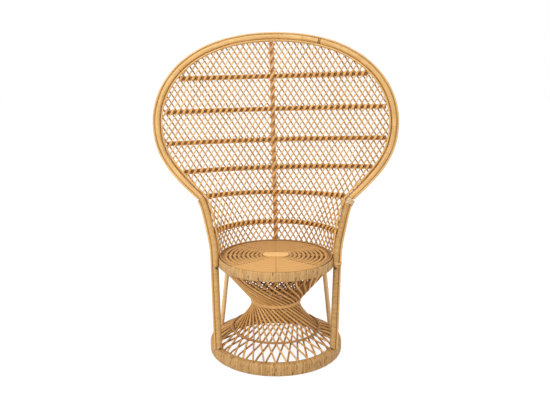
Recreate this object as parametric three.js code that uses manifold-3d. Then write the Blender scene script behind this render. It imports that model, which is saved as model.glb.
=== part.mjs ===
// Peacock chair in rattan: a wrapped base ring, an hourglass pedestal of crossed canes, a round seat in a
// wrapped ring, and a flared back of diagonal canes held in a bent pole rim with arms that run down as legs.
// Millimetres, +Z up, the sitter faces -Y.

import * as THREE from 'three';
import { mergeVertices } from 'three/addons/utils/BufferGeometryUtils.js';
import Module from 'manifold-3d';

const wasm = await Module();
wasm.setup();

// Fits
const CLEARANCE = 0.3; // between pieces that touch
const LAYER_GAP = 0.8; // between a layer of canes and the stays and hoop that it crosses
const SEAT_GAP = 1.5; // between the seat ring and the front canes behind it

// Poles, hoops and canes
const POLE = 25; // legs, arms and rim, over their peel wrapping
const REAR_LEG = 21;
const EDGE_HOOP = 9; // inside the rim and arms, where the canes are nailed
const TRIM_HOOP = 8; // in front of the edge hoop, over the cane ends
const OUTER_STRIP = 9; // along the outside of the legs, arms and rim
const LATTICE_CANE = 5.5;
const PEDESTAL_CANE = 6;
const RING_POLE = 24; // the two poles inside the base ring
const SEAT_POLE = 18; // the two poles inside the seat ring
const PEEL = 2; // thickness of a wrapping

// Base ring
const BASE_RADIUS = 290;
const BASE_HEIGHT = 53;
const BASE_WIDTH = 36;
const BASE_CORNER = 8;

// Seat
const SEAT_RADIUS = 250;
const SEAT_TOP = 427;
const SEAT_APRON = 43; // height of the wrapped ring
const SEAT_WIDTH = 30;
const SEAT_CORNER = 6;
const DECK_DROP = 1.5; // the deck lies this far below the top of the ring
const DECK_THICKNESS = 8;
const DECK_RIDGES = 6;
const RIDGE_HEIGHT = 1.6;
const SEAT_BAR = 10;

// Pedestal
const PEDESTAL_CANES = 36; // in each of the two families
const PEDESTAL_LENGTHS = 6; // lengths of cane that a family is laid from
const WAIST_RADIUS = 109; // outside of the binding
const WAIST_Z = 227;
const WAIST_BAND = 14; // height of the binding
const WAIST_BAND_WALL = 4;
const WAIST_HOOP = 8;
const SKIRT_RADIUS = 197; // outside of the skirt hoop
const SKIRT_Z = 103;
const SKIRT_HOOP = 8;
const SKIRT_SLOPE = 48; // degrees from level of the outward normal at the skirt hoop
const CANE_RISE = 4; // the cane tops stand this far above the underside of the seat ring

// Legs
const FRONT_LEG_ANGLE = -30; // degrees round from the side, on the base ring
const REAR_LEG_ANGLE = 25;

// Back sheet: in plan a tub round the seat that opens out into a nearly flat fan
const BACK_LEAN = 0.11; // rearward travel for each unit of height
const LEAN_ONSET = 15; // height over which the lean sets in
const FAN_CURVE = 1820; // plan radius of the fan
const TUB_FADE = 244; // height over which the tub opens out
const TUB_FADE_POWER = 2.6;

// Edge of the back at the centre of the pole: girth from the spine along the plan curve, and height
const ARM_FRONT_GIRTH = 469;
const SHOULDER_GIRTH = 372;
const SHOULDER_Z = 648;
const FAN_GIRTH = 546;
const FAN_WIDEST_Z = 981;
const FAN_TOP_Z = 1363;
const ARM_FOOT_REACH = [-14, 75]; // handles of the curves between those points
const ARM_SHOULDER_REACH = [-32, -73];
const FAN_SHOULDER_REACH = [99, 112];
const FAN_LOWER_REACH = 150;
const FAN_UPPER_REACH = 165;
const FAN_CROWN_REACH = 400;
const ARM_STEPS = 9;
const FAN_LOWER_STEPS = 10;
const FAN_UPPER_STEPS = 14;
const STRIP_SETBACK = 30; // the outer strips stop this far from the bend at the shoulder

// Spine, stays and lattice
const STAY_RISES = [0.091, 0.239, 0.364, 0.501, 0.652, 0.811]; // at the spine, as shares of the back's height
const STAY_TILT = [0, 0, 0.028, 0.028, 0.028, 0.028]; // hand-tied rise towards the sitter's left
const STAY_HEIGHT = 18;
const STAY_DEPTH = 7.5;
const SPINE_WIDTH = 20;
const SPINE_LEAN = 0.023; // sideways travel for each unit of height
const RAIL_RISE = 12; // the bottom rail lies this far above the underside of the seat ring
const LATTICE_PITCH = 27.5; // along the girth
const LATTICE_SLOPE = 1.54; // rise over run of a cane
const LATTICE_GROUPS = 5; // lengths of cane in each layer
const SHORTEST_CANE = 110;
const SHARPEST_TURN = 30; // degrees between a cane and the turn to its neighbour
const TUB_STEP = 60; // spacing of the bends in a cane on the tub and on the fan
const FAN_STEP = 150;
const TUB_END_Z = 900;
const STAY_SAG = 0.3; // how far a stay's straight steps may stand off its curve

const RING_SEGMENTS = 36;
const HOOP_SIDES = 5;
const EDGE_SCAN = 3; // height step of the search for the ends of a cane
const HALVINGS = 16; // in the search for where a strip meets the hoop
const END_PROBES = 5; // points tested across the end of a strip

const RATTAN = { color: 0xd9ae74, roughness: 0.55, metalness: 0 };
const PEEL_WRAP = { color: 0xe0b67c, roughness: 0.5, metalness: 0 };
const DARK_RATTAN = { color: 0x8a5526, roughness: 0.6, metalness: 0 };
const CORE_POLE = { color: 0xb98a50, roughness: 0.7, metalness: 0 };

const seatBottom = SEAT_TOP - SEAT_APRON;
const layerReach = (Math.max(STAY_DEPTH, EDGE_HOOP) + LATTICE_CANE) / 2 + LAYER_GAP;
const tubRadius = SEAT_RADIUS + SEAT_GAP + LATTICE_CANE / 2 + layerReach;
const poleOffset = SEAT_RADIUS + CLEARANCE + POLE / 2 - tubRadius;
const railZ = seatBottom + RAIL_RISE;
const stayHeights = STAY_RISES.map((share) => SEAT_TOP + share * (FAN_TOP_Z - SEAT_TOP));
const radians = THREE.MathUtils.degToRad;

const chair = new THREE.Group();

/** Adds one named piece to the chair. */
function addPiece(name, geometry, finish) {
  const mesh = new THREE.Mesh(geometry, new THREE.MeshStandardMaterial(finish));
  mesh.name = name;
  chair.add(mesh);
}

/** Points of a regular section with its corners on a circle, the first one along the normal. */
function polygon(sides, diameter) {
  const corners = [];
  for (let i = 0; i < sides; i += 1) {
    const angle = (2 * Math.PI * i) / sides;
    corners.push([(diameter / 2) * Math.cos(angle), (diameter / 2) * Math.sin(angle)]);
  }
  return corners;
}

/** Points of a flat strip: thick along the normal and wide across it. */
function strip(thick, wide) {
  const [a, b] = [thick / 2, wide / 2];
  return [[a, -b], [a, b], [-a, b], [-a, -b]];
}

/** Closed solid of a section carried along a path, mitred at its bends and at any given end planes. */
function sweep(path, section, startPlane, endPlane) {
  const count = path.length;
  const sides = section.length;
  const vertices = [];
  for (let i = 0; i < count; i += 1) {
    const { point, normal } = path[i];
    const into = path[Math.max(i, 1)].point.clone().sub(path[Math.max(i, 1) - 1].point).normalize();
    const plane = direction(path, i);
    if (i === 0 && startPlane) plane.copy(startPlane);
    if (i === count - 1 && endPlane) plane.copy(endPlane);
    const up = normal.clone().addScaledVector(into, -normal.dot(into)).normalize();
    const across = into.clone().cross(up);
    for (const [a, b] of section) {
      const corner = up.clone().multiplyScalar(a).addScaledVector(across, b);
      corner.addScaledVector(into, -corner.dot(plane) / into.dot(plane));
      corner.add(point);
      vertices.push(corner.x, corner.y, corner.z);
    }
  }
  const faces = [];
  for (let i = 0; i < count - 1; i += 1) {
    for (let j = 0; j < sides; j += 1) {
      const [a, b] = [i * sides + j, i * sides + ((j + 1) % sides)];
      faces.push(a, b, b + sides, a, b + sides, a + sides);
    }
  }
  const last = (count - 1) * sides;
  for (let j = 1; j < sides - 1; j += 1) {
    faces.push(0, j + 1, j);
    faces.push(last, last + j, last + j + 1);
  }
  const geometry = new THREE.BufferGeometry();
  geometry.setAttribute('position', new THREE.Float32BufferAttribute(vertices, 3));
  geometry.setIndex(faces);
  return geometry;
}

/** Solid of revolution about Z from a profile of [radius, height] points, outer side going up. */
function revolve(profile, segments = RING_SEGMENTS) {
  const points = [...profile, profile[0]].map(([r, z]) => new THREE.Vector2(r, z));
  return new THREE.LatheGeometry(points, segments).rotateX(Math.PI / 2);
}

/** Hoop of round stock about Z. */
function hoop(radius, z, diameter, segments = RING_SEGMENTS) {
  const corners = polygon(HOOP_SIDES, diameter).map(([a, b]) => [radius + a, z + b]);
  return revolve(corners, segments);
}

/** Manifold solid of a closed geometry. */
function toSolid(geometry) {
  const bare = new THREE.BufferGeometry();
  bare.setAttribute('position', geometry.getAttribute('position'));
  bare.setIndex(geometry.getIndex());
  const merged = mergeVertices(bare);
  return new wasm.Manifold(new wasm.Mesh({
    numProp: 3,
    vertProperties: merged.getAttribute('position').array,
    triVerts: new Uint32Array(merged.getIndex().array),
  }));
}

/** Geometry of a manifold solid. */
function toGeometry(solid) {
  const mesh = solid.getMesh();
  const geometry = new THREE.BufferGeometry();
  geometry.setAttribute('position', new THREE.BufferAttribute(mesh.vertProperties, 3));
  geometry.setIndex(new THREE.BufferAttribute(mesh.triVerts, 1));
  return geometry;
}

/** Point at an angle round the chair's axis. */
function polar(radius, angle, z) {
  return new THREE.Vector3(radius * Math.cos(angle), radius * Math.sin(angle), z);
}

/** Plan radius of the back sheet at a height. */
function sheetRadius(z) {
  const climb = Math.max(0, z - SEAT_TOP) / TUB_FADE;
  const tub = Math.exp(-(climb ** TUB_FADE_POWER));
  return 1 / (1 / FAN_CURVE + (1 / tubRadius - 1 / FAN_CURVE) * tub);
}

/** Rear-most point of the back sheet at a height. The lean sets in gently at the seat. */
function sheetSpine(z) {
  const climb = z - SEAT_TOP;
  return tubRadius + (BACK_LEAN * (climb + Math.hypot(climb, LEAN_ONSET))) / 2;
}

/** Point of the back sheet at a girth from the spine line and a height. */
function onSheet(girth, z) {
  const radius = sheetRadius(z);
  const turn = girth / radius;
  return new THREE.Vector3(radius * Math.sin(turn), sheetSpine(z) - radius * (1 - Math.cos(turn)), z);
}

/** Rearward normal of the back sheet. */
function sheetNormal(girth, z) {
  const along = onSheet(girth + 0.5, z).sub(onSheet(girth - 0.5, z));
  const up = onSheet(girth, z + 0.5).sub(onSheet(girth, z - 0.5));
  return up.cross(along).normalize();
}

/** Path station on the back, set off to the rear of the sheet. */
function station(girth, z, offset = 0) {
  const normal = sheetNormal(girth, z);
  return { point: onSheet(girth, z).addScaledVector(normal, offset), normal };
}

/** Girth of a point that lies near the back sheet. */
function girthOf(point) {
  const radius = sheetRadius(point.z);
  return radius * Math.atan2(point.x, point.y - sheetSpine(point.z) + radius);
}

/** The same path on the other side of the chair. */
function mirrored(path) {
  const flip = new THREE.Vector3(-1, 1, 1);
  return path.map(({ point, normal }) => ({
    point: point.clone().multiply(flip),
    normal: normal.clone().multiply(flip),
  }));
}

/** Direction of a path at one of its stations, halfway between the stretches that meet there. */
function direction(path, i) {
  const last = path.length - 1;
  const into = path[Math.max(i, 1)].point.clone().sub(path[Math.max(i, 1) - 1].point).normalize();
  const out = path[Math.min(i, last - 1) + 1].point.clone().sub(path[Math.min(i, last - 1)].point);
  return into.add(out.normalize()).normalize();
}

/** The same path with normals that don't turn about it, for round stock. */
function untwisted(path) {
  const normal = path[0].normal.clone();
  return path.map(({ point }, i) => {
    const along = direction(path, i);
    normal.addScaledVector(along, -normal.dot(along)).normalize();
    return { point, normal: normal.clone() };
  });
}

/** Path beside another one: shifted outwards across it within the sheet and along its normal. */
function beside(path, across, rearward) {
  return path.map(({ point, normal }, i) => {
    const along = direction(path, i);
    const stretch = path[Math.max(i, 1)].point.clone().sub(path[Math.max(i, 1) - 1].point).normalize();
    const side = normal.clone().cross(along).normalize();
    const moved = point.clone().addScaledVector(side, across / stretch.dot(along));
    return { point: moved.addScaledVector(normal, rearward), normal };
  });
}

/** Both sides of a path that runs from the seat to the top of the back, as one path. */
function overTheTop(path) {
  return [...mirrored(path), ...path.slice(0, -1).reverse()];
}

// Base ring: two poles under a wrapping of peel that is open towards the inside

function wrapProfile(outer, low, high, width, corner) {
  const inner = outer - width;
  const [wall, bend] = [PEEL, corner - PEEL / 2];
  return [
    [inner, low], [outer - corner, low], [outer, low + corner],
    [outer, high - corner], [outer - corner, high], [inner, high],
    [inner, high - wall], [outer - wall - bend, high - wall], [outer - wall, high - wall - bend],
    [outer - wall, low + wall + bend], [outer - wall - bend, low + wall], [inner, low + wall],
  ];
}

/** Depth below two walls of a wrapping at which a round pole clears both of them and their corner. */
function poleInset(diameter, corner) {
  const bend = corner - PEEL / 2;
  const reach = diameter / 2 + CLEARANCE;
  return PEEL + Math.max(reach, (bend + Math.SQRT2 * reach) / 2);
}

const baseWrap = wrapProfile(BASE_RADIUS, 0, BASE_HEIGHT, BASE_WIDTH, BASE_CORNER);
const basePoleInset = poleInset(RING_POLE, BASE_CORNER);
addPiece('base_wrap', revolve(baseWrap), PEEL_WRAP);
addPiece('base_pole_lower', hoop(BASE_RADIUS - basePoleInset, basePoleInset, RING_POLE), CORE_POLE);
addPiece(
  'base_pole_upper',
  hoop(BASE_RADIUS - basePoleInset, BASE_HEIGHT - basePoleInset, RING_POLE),
  CORE_POLE,
);

// Seat: a wrapped ring on two poles, crossed bars between the poles, and a ridged round deck on the bars

const seatPoleInset = poleInset(SEAT_POLE, SEAT_CORNER);
const seatPoleRadius = SEAT_RADIUS - seatPoleInset;
const deckTop = SEAT_TOP - DECK_DROP;
const deckBottom = deckTop - DECK_THICKNESS;
const seatWrap = wrapProfile(SEAT_RADIUS, seatBottom, SEAT_TOP, SEAT_WIDTH, SEAT_CORNER);
addPiece('seat_wrap', revolve(seatWrap), PEEL_WRAP);
addPiece('seat_pole_upper', hoop(seatPoleRadius, SEAT_TOP - seatPoleInset, SEAT_POLE), CORE_POLE);
addPiece('seat_pole_lower', hoop(seatPoleRadius, seatBottom + seatPoleInset, SEAT_POLE), CORE_POLE);

function seatDeck() {
  const edge = SEAT_RADIUS - SEAT_WIDTH - CLEARANCE;
  const step = edge / (2 * DECK_RIDGES);
  const profile = [[0, deckBottom], [edge, deckBottom]];
  for (let i = 2 * DECK_RIDGES; i >= 0; i -= 1) {
    profile.push([i * step, deckTop - (i % 2) * RIDGE_HEIGHT]);
  }
  return revolve(profile);
}

/** Bar across the seat that butts against the flat inner sides of the poles. */
function seatBar(along, z) {
  const poleFace = seatPoleRadius - (SEAT_POLE / 2) * Math.cos(Math.PI / HOOP_SIDES);
  const cornerRoom = (SEAT_BAR / 2) * Math.tan(Math.PI / RING_SEGMENTS);
  const half = along.clone().multiplyScalar(poleFace - cornerRoom - CLEARANCE).setZ(z);
  const normal = new THREE.Vector3(0, 0, 1);
  const far = new THREE.Vector3(-half.x, -half.y, z);
  return sweep([{ point: far, normal }, { point: half, normal }], polygon(6, SEAT_BAR));
}

const upperBarZ = deckBottom - CLEARANCE - SEAT_BAR / 2;
addPiece('seat_deck', seatDeck(), RATTAN);
addPiece('seat_bar_cross', seatBar(new THREE.Vector3(1, 0, 0), upperBarZ), CORE_POLE);
addPiece('seat_bar_long', seatBar(new THREE.Vector3(0, 1, 0), upperBarZ - SEAT_BAR - CLEARANCE), CORE_POLE);

// Pedestal: two families of straight canes that lean opposite ways, drawn in at the waist

const legRadius = BASE_RADIUS - POLE / 2;
const crossing = PEDESTAL_CANE + CLEARANCE;
const waistCane = WAIST_RADIUS - WAIST_BAND_WALL - CLEARANCE - PEDESTAL_CANE / 2;
const skirtAcross = Math.cos(radians(SKIRT_SLOPE));
const skirtUp = Math.sin(radians(SKIRT_SLOPE));
const skirtReach = (SKIRT_HOOP + PEDESTAL_CANE) / 2 + CLEARANCE;
const skirtHoopRadius = SKIRT_RADIUS - SKIRT_HOOP / 2;
const outerCane = {
  top: [SEAT_RADIUS - SEAT_WIDTH - CLEARANCE - PEDESTAL_CANE / 2, seatBottom + CANE_RISE],
  waist: [waistCane, WAIST_Z],
  skirt: [skirtHoopRadius - skirtReach * skirtAcross, SKIRT_Z - skirtReach * skirtUp],
  foot: [
    legRadius - POLE / 2 - CLEARANCE - PEDESTAL_CANE / 2,
    BASE_HEIGHT + CLEARANCE + PEDESTAL_CANE / 2,
  ],
};
const innerCane = {
  top: [outerCane.top[0] - Math.SQRT2 * crossing, outerCane.top[1]],
  waist: [waistCane - crossing, WAIST_Z],
  skirt: [outerCane.skirt[0] - crossing * skirtAcross, outerCane.skirt[1] - crossing * skirtUp],
  foot: [
    BASE_RADIUS - BASE_WIDTH - CLEARANCE - PEDESTAL_CANE / 2,
    BASE_HEIGHT - PEEL - CLEARANCE,
  ],
};

/** One length of a family of canes, bent back at the seat and at the base over neighbouring passes. */
function pedestalLength({ top, waist, skirt, foot }, turn, first, end) {
  const pitch = (2 * Math.PI) / PEDESTAL_CANES;
  const waistTurn = turn * Math.acos(waist[0] / skirt[0]);
  const topTurn = waistTurn + turn * Math.acos(waist[0] / top[0]);
  const knots = [[top, -topTurn], [waist, -waistTurn], [skirt, 0], [foot, turn * pitch]];
  const path = [];
  for (let i = first; i < end; i += 1) {
    const pass = knots.map(([[radius, z], angle]) => ({
      point: polar(radius, angle + i * pitch, z),
      normal: polar(1, angle + i * pitch, 0),
    }));
    path.push(...((i - first) % 2 === 0 ? pass : pass.reverse()));
  }
  return sweep(path, polygon(4, PEDESTAL_CANE));
}

const waistGrowth = (outerCane.top[0] ** 2 - waistCane ** 2) / (outerCane.top[1] - WAIST_Z) ** 2;
const bandCane = Math.sqrt(waistCane ** 2 + waistGrowth * (WAIST_BAND / 2) ** 2);
const facetSlack = Math.cos(Math.PI / RING_SEGMENTS);
const bandInner = (bandCane + PEDESTAL_CANE / 2 + CLEARANCE) / facetSlack;
const bandOuter = bandInner + WAIST_BAND_WALL;
const waistHoopRadius = innerCane.waist[0] - PEDESTAL_CANE / 2 - CLEARANCE - WAIST_HOOP / 2;
for (const [family, cane, turn] of [['outer', outerCane, 1], ['inner', innerCane, -1]]) {
  for (let i = 0; i < PEDESTAL_LENGTHS; i += 1) {
    const first = Math.round((i * PEDESTAL_CANES) / PEDESTAL_LENGTHS);
    const end = Math.round(((i + 1) * PEDESTAL_CANES) / PEDESTAL_LENGTHS);
    addPiece(`pedestal_${family}_canes_${i + 1}`, pedestalLength(cane, turn, first, end), RATTAN);
  }
}
addPiece('waist_binding', revolve([
  [bandOuter, WAIST_Z - WAIST_BAND / 2], [bandOuter, WAIST_Z + WAIST_BAND / 2],
  [bandInner, WAIST_Z + WAIST_BAND / 2], [bandInner, WAIST_Z - WAIST_BAND / 2],
]), PEEL_WRAP);
addPiece('waist_hoop', hoop(waistHoopRadius, WAIST_Z, WAIST_HOOP), CORE_POLE);
addPiece('skirt_hoop', hoop(skirtHoopRadius, SKIRT_Z, SKIRT_HOOP, PEDESTAL_CANES), RATTAN);

// Frame of the back on its right side, from the arm's foot to the top

const armFootZ = SEAT_TOP - SEAT_APRON / 2;
const shoulder = new THREE.Vector2(SHOULDER_GIRTH, SHOULDER_Z);
const widest = new THREE.Vector2(FAN_GIRTH, FAN_WIDEST_Z);
const crown = new THREE.Vector2(0, FAN_TOP_Z);
const armFoot = new THREE.Vector2(ARM_FRONT_GIRTH, armFootZ);

function shifted(point, [girth, z]) {
  return new THREE.Vector2(point.x + girth, point.y + z);
}

const armCurve = new THREE.CubicBezierCurve(
  armFoot,
  shifted(armFoot, ARM_FOOT_REACH),
  shifted(shoulder, ARM_SHOULDER_REACH),
  shoulder,
);
const lowerFanCurve = new THREE.CubicBezierCurve(
  shoulder,
  shifted(shoulder, FAN_SHOULDER_REACH),
  shifted(widest, [0, -FAN_LOWER_REACH]),
  widest,
);
const upperFanCurve = new THREE.CubicBezierCurve(
  widest,
  shifted(widest, [0, FAN_UPPER_REACH]),
  shifted(crown, [FAN_CROWN_REACH, 0]),
  crown,
);

function polePath(curve, steps) {
  return curve.getPoints(steps).map(({ x, y }) => station(x, y, poleOffset));
}

const armPath = polePath(armCurve, ARM_STEPS);
const upperFanPath = polePath(upperFanCurve, FAN_UPPER_STEPS);
const fanPath = [...polePath(lowerFanCurve, FAN_LOWER_STEPS), ...upperFanPath.slice(1)];
const edgePath = [...armPath, ...fanPath.slice(1)];

// Front legs run up past the seat as arms and meet the rim in a mitre at the shoulder

const legFoot = {
  point: polar(legRadius, radians(FRONT_LEG_ANGLE), BASE_HEIGHT + CLEARANCE),
  normal: armPath[0].normal,
};
const legPath = [legFoot, ...armPath];
const armEnd = direction(armPath.slice(-2), 1);
const rimStart = direction(fanPath.slice(0, 2), 0);
const mitre = armEnd.clone().add(rimStart).normalize();
const level = new THREE.Vector3(0, 0, 1);

/** Path with its last station drawn back along it. */
function drawnBack(path, distance) {
  const end = path.length - 1;
  const point = path[end].point.clone().addScaledVector(direction(path.slice(-2), 1), -distance);
  return [...path.slice(0, end), { point, normal: path[end].normal }];
}

const poleSection = polygon(8, POLE);
const mitreLeft = mitre.clone().setX(-mitre.x);
for (const [side, path, plane] of [['right', legPath, mitre], ['left', mirrored(legPath), mitreLeft]]) {
  const pole = untwisted(drawnBack(path, CLEARANCE / 2));
  addPiece(`front_leg_${side}`, sweep(pole, poleSection, level, plane), PEEL_WRAP);
}

const stripReach = (POLE + OUTER_STRIP) / 2 + CLEARANCE;

/** Strip along the outside of a leg and arm, stopping short of the shoulder. */
function legStrip(path, outward) {
  const beyond = path.map(({ point }, i) => {
    const along = direction(path, i);
    const side = outward.clone().addScaledVector(along, -outward.dot(along)).normalize();
    return { point: point.clone().addScaledVector(side, stripReach), normal: side };
  });
  return sweep(untwisted(drawnBack(beyond, STRIP_SETBACK)), polygon(4, OUTER_STRIP), level);
}

addPiece('leg_strip_right', legStrip(legPath, new THREE.Vector3(1, 0, 0)), RATTAN);
addPiece('leg_strip_left', legStrip(mirrored(legPath), new THREE.Vector3(-1, 0, 0)), RATTAN);

// Rear legs stand on the base ring and carry the seat ring from below

const rearAngle = radians(REAR_LEG_ANGLE);
const rearLegPath = [
  polar(BASE_RADIUS - POLE / 2, rearAngle, BASE_HEIGHT + CLEARANCE),
  polar(SEAT_RADIUS - SEAT_WIDTH / 2, rearAngle, seatBottom - CLEARANCE),
].map((point) => ({ point, normal: new THREE.Vector3(0, 1, 0) }));
for (const [side, path] of [['right', rearLegPath], ['left', mirrored(rearLegPath)]]) {
  addPiece(`rear_leg_${side}`, sweep(path, polygon(8, REAR_LEG), level, level), RATTAN);
}

// Rim: the pole, the strip outside it, the hoop inside it and the trim over the cane ends

const rimPath = drawnBack(overTheTop(fanPath).reverse(), CLEARANCE / 2).reverse();
const rimPole = untwisted(drawnBack(rimPath, CLEARANCE / 2));
addPiece('rim_pole', sweep(rimPole, poleSection, mitreLeft, mitre), PEEL_WRAP);

const rimStripPath = overTheTop(beside(fanPath, stripReach, 0));
const rimStrip = drawnBack(drawnBack(rimStripPath, STRIP_SETBACK).reverse(), STRIP_SETBACK);
addPiece('rim_outer_strip', sweep(rimStrip, polygon(4, OUTER_STRIP)), RATTAN);

const hoopPath = beside(edgePath, -((POLE + EDGE_HOOP) / 2 + CLEARANCE), -poleOffset);
const hoopFootZ = railZ + STAY_DEPTH / 2 + CLEARANCE;

/** Part of a path that lies above a height, starting at that height. */
function above(path, z) {
  const first = path.findIndex(({ point }) => point.z > z);
  const [low, high] = [path[Math.max(first - 1, 0)].point, path[Math.max(first, 1)].point];
  const point = low.clone().lerp(high, (z - low.z) / (high.z - low.z));
  return [{ point, normal: path[first].normal }, ...path.slice(first)];
}

const edgeHoop = overTheTop(above(hoopPath, hoopFootZ));
addPiece('edge_hoop', sweep(edgeHoop, polygon(4, EDGE_HOOP), level, level), RATTAN);

const caneFace = layerReach + LATTICE_CANE / 4; // the flat of a three-sided cane, away from the hoop
const trimReach = caneFace + 2 * CLEARANCE + TRIM_HOOP / 2;
const trimPath = above(beside(hoopPath, 0, -trimReach), SEAT_TOP + TRIM_HOOP);
addPiece('trim_hoop', sweep(overTheTop(trimPath), polygon(4, TRIM_HOOP)), RATTAN);

// Edge of the lattice: the girth of the hoop at each height

const edgeTable = hoopPath.map(({ point }) => ({ z: point.z, girth: girthOf(point) }));
const latticeTop = edgeTable[edgeTable.length - 1].z;

function edgeGirth(z) {
  const after = edgeTable.findIndex((entry) => entry.z >= z);
  if (after <= 0) return edgeTable[after === 0 ? 0 : edgeTable.length - 1].girth;
  const [low, high] = [edgeTable[after - 1], edgeTable[after]];
  return THREE.MathUtils.mapLinear(z, low.z, high.z, low.girth, high.girth);
}

// Bottom rail, stays and spine lie between the two layers of canes. Each stay is lapped over the spine

const staySection = strip(STAY_DEPTH, STAY_HEIGHT);
const railEnd = girthOf(armPath[0].point) - POLE / 2 - CLEARANCE;

/** Path along the girth at a height, with steps that follow the curve within the given sag. */
function girthPath(from, to, heightAt) {
  const span = Math.sqrt(8 * sheetRadius(heightAt(0)) * STAY_SAG);
  const steps = Math.ceil((to - from) / span);
  return Array.from({ length: steps + 1 }, (_, i) => {
    const girth = THREE.MathUtils.lerp(from, to, i / steps);
    return station(girth, heightAt(girth));
  });
}

const railPath = girthPath(-railEnd, railEnd, () => railZ);
addPiece('bottom_rail', sweep(railPath, polygon(4, STAY_DEPTH)), DARK_RATTAN);

function spineGirth(z) {
  return -SPINE_LEAN * (z - SEAT_TOP);
}

/** Whether a strip that ends at a girth and height, square to its run, stays inside the hoop. */
function clearsHoop(girth, z, run, width) {
  if (z >= latticeTop || Math.abs(girth) >= edgeGirth(z)) return false;
  const { point, normal } = station(girth, z);
  const aside = normal.cross(run).setLength(width / 2);
  const probes = Array.from({ length: END_PROBES }, (_, i) => (
    point.clone().addScaledVector(aside, THREE.MathUtils.mapLinear(i, 0, END_PROBES - 1, -1, 1))
  ));
  const stretch = new THREE.Line3();
  const nearest = new THREE.Vector3();
  return probes.every((probe) => (
    edgeHoop.slice(1).every(({ point: end }, i) => {
      stretch.set(edgeHoop[i].point, end).closestPointToPoint(probe, true, nearest);
      return nearest.distanceTo(probe) >= EDGE_HOOP / 2 + 2 * CLEARANCE;
    })
  ));
}

/** Largest value between two bounds that passes a test, found by halving. */
function furthest(low, high, passes) {
  let [good, bad] = [low, high];
  for (let i = 0; i < HALVINGS; i += 1) {
    const trial = (good + bad) / 2;
    if (passes(trial)) good = trial;
    else bad = trial;
  }
  return good;
}

/** Girth at which a stay meets the hoop on one side. */
function stayEnd(side, heightAt) {
  return side * furthest(0, 2 * FAN_GIRTH, (reach) => {
    const [girth, inner] = [side * reach, side * (reach - 1)];
    const run = onSheet(girth, heightAt(girth)).sub(onSheet(inner, heightAt(inner)));
    return clearsHoop(girth, heightAt(girth), run, STAY_HEIGHT);
  });
}

/** Block that makes room for a lap joint, to the rear (1) or the front (-1) of the middle of the sheet. */
function lapBlock(z, along, length, facing) {
  const { point, normal } = station(spineGirth(z), z);
  const outward = normal.clone().multiplyScalar(facing);
  const side = outward.clone().cross(along);
  const block = new THREE.BoxGeometry(length, SPINE_WIDTH + STAY_HEIGHT, STAY_DEPTH);
  block.applyMatrix4(new THREE.Matrix4().makeBasis(along, side, outward));
  const centre = point.addScaledVector(outward, (STAY_DEPTH - CLEARANCE) / 2);
  block.translate(centre.x, centre.y, centre.z);
  return toSolid(block);
}

const spineFootZ = railZ + STAY_DEPTH / 2 + CLEARANCE;
const spineHeadZ = furthest(spineFootZ, latticeTop, (z) => clearsHoop(spineGirth(z), z, level, SPINE_WIDTH));
const spineSteps = Math.ceil((spineHeadZ - spineFootZ) / TUB_STEP);
const spinePath = Array.from({ length: spineSteps + 1 }, (_, i) => {
  const z = THREE.MathUtils.lerp(spineFootZ, spineHeadZ, i / spineSteps);
  return station(spineGirth(z), z);
});
let spine = toSolid(sweep(spinePath, strip(STAY_DEPTH, SPINE_WIDTH), level, level));

stayHeights.forEach((height, i) => {
  const heightAt = (girth) => height + STAY_TILT[i] * girth;
  const path = girthPath(stayEnd(-1, heightAt), stayEnd(1, heightAt), heightAt);
  const lapZ = heightAt(spineGirth(height));
  const alongStay = new THREE.Vector3(1, 0, STAY_TILT[i]).normalize();
  const alongSpine = station(spineGirth(lapZ + 1), lapZ + 1).point;
  alongSpine.sub(station(spineGirth(lapZ), lapZ).point).normalize();
  const stay = toSolid(sweep(path, staySection));
  const lapped = stay.subtract(lapBlock(lapZ, alongStay, SPINE_WIDTH + 2 * CLEARANCE, 1));
  spine = spine.subtract(lapBlock(lapZ, alongSpine, STAY_HEIGHT + 2 * CLEARANCE, -1));
  addPiece(`stay_${i + 1}`, toGeometry(lapped), DARK_RATTAN);
});
addPiece('spine', toGeometry(spine), DARK_RATTAN);

// Lattice: a front layer of canes that rise one way and a rear layer that rise the other way

/** Ends of the longest stretch of a slanted line that lies inside the edge hoop, as two heights. */
function insideStretch(girthAt) {
  let best = null;
  let start = null;
  for (let z = railZ; z <= latticeTop + EDGE_SCAN; z += EDGE_SCAN) {
    const inside = z < latticeTop && Math.abs(girthAt(z)) < edgeGirth(z);
    if (inside && start === null) start = z;
    if (!inside && start !== null) {
      if (!best || z - start > best[1] - best[0]) best = [start, z - EDGE_SCAN];
      start = null;
    }
  }
  return best;
}

/** Every cane of one layer as a line in girth and height. */
function layerLines(slant) {
  const rise = latticeTop - railZ;
  const reach = FAN_GIRTH + rise / LATTICE_SLOPE;
  const count = Math.ceil(reach / LATTICE_PITCH);
  const shortestRise = SHORTEST_CANE * Math.sin(Math.atan(LATTICE_SLOPE));
  const lines = [];
  for (let i = -count; i <= count; i += 1) {
    const girthAt = (z) => (i + 0.5) * LATTICE_PITCH + (slant * (z - FAN_WIDEST_Z)) / LATTICE_SLOPE;
    const stretch = insideStretch(girthAt);
    if (stretch && stretch[1] - stretch[0] > shortestRise) lines.push({ girthAt, ends: stretch });
  }
  return lines;
}

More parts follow.
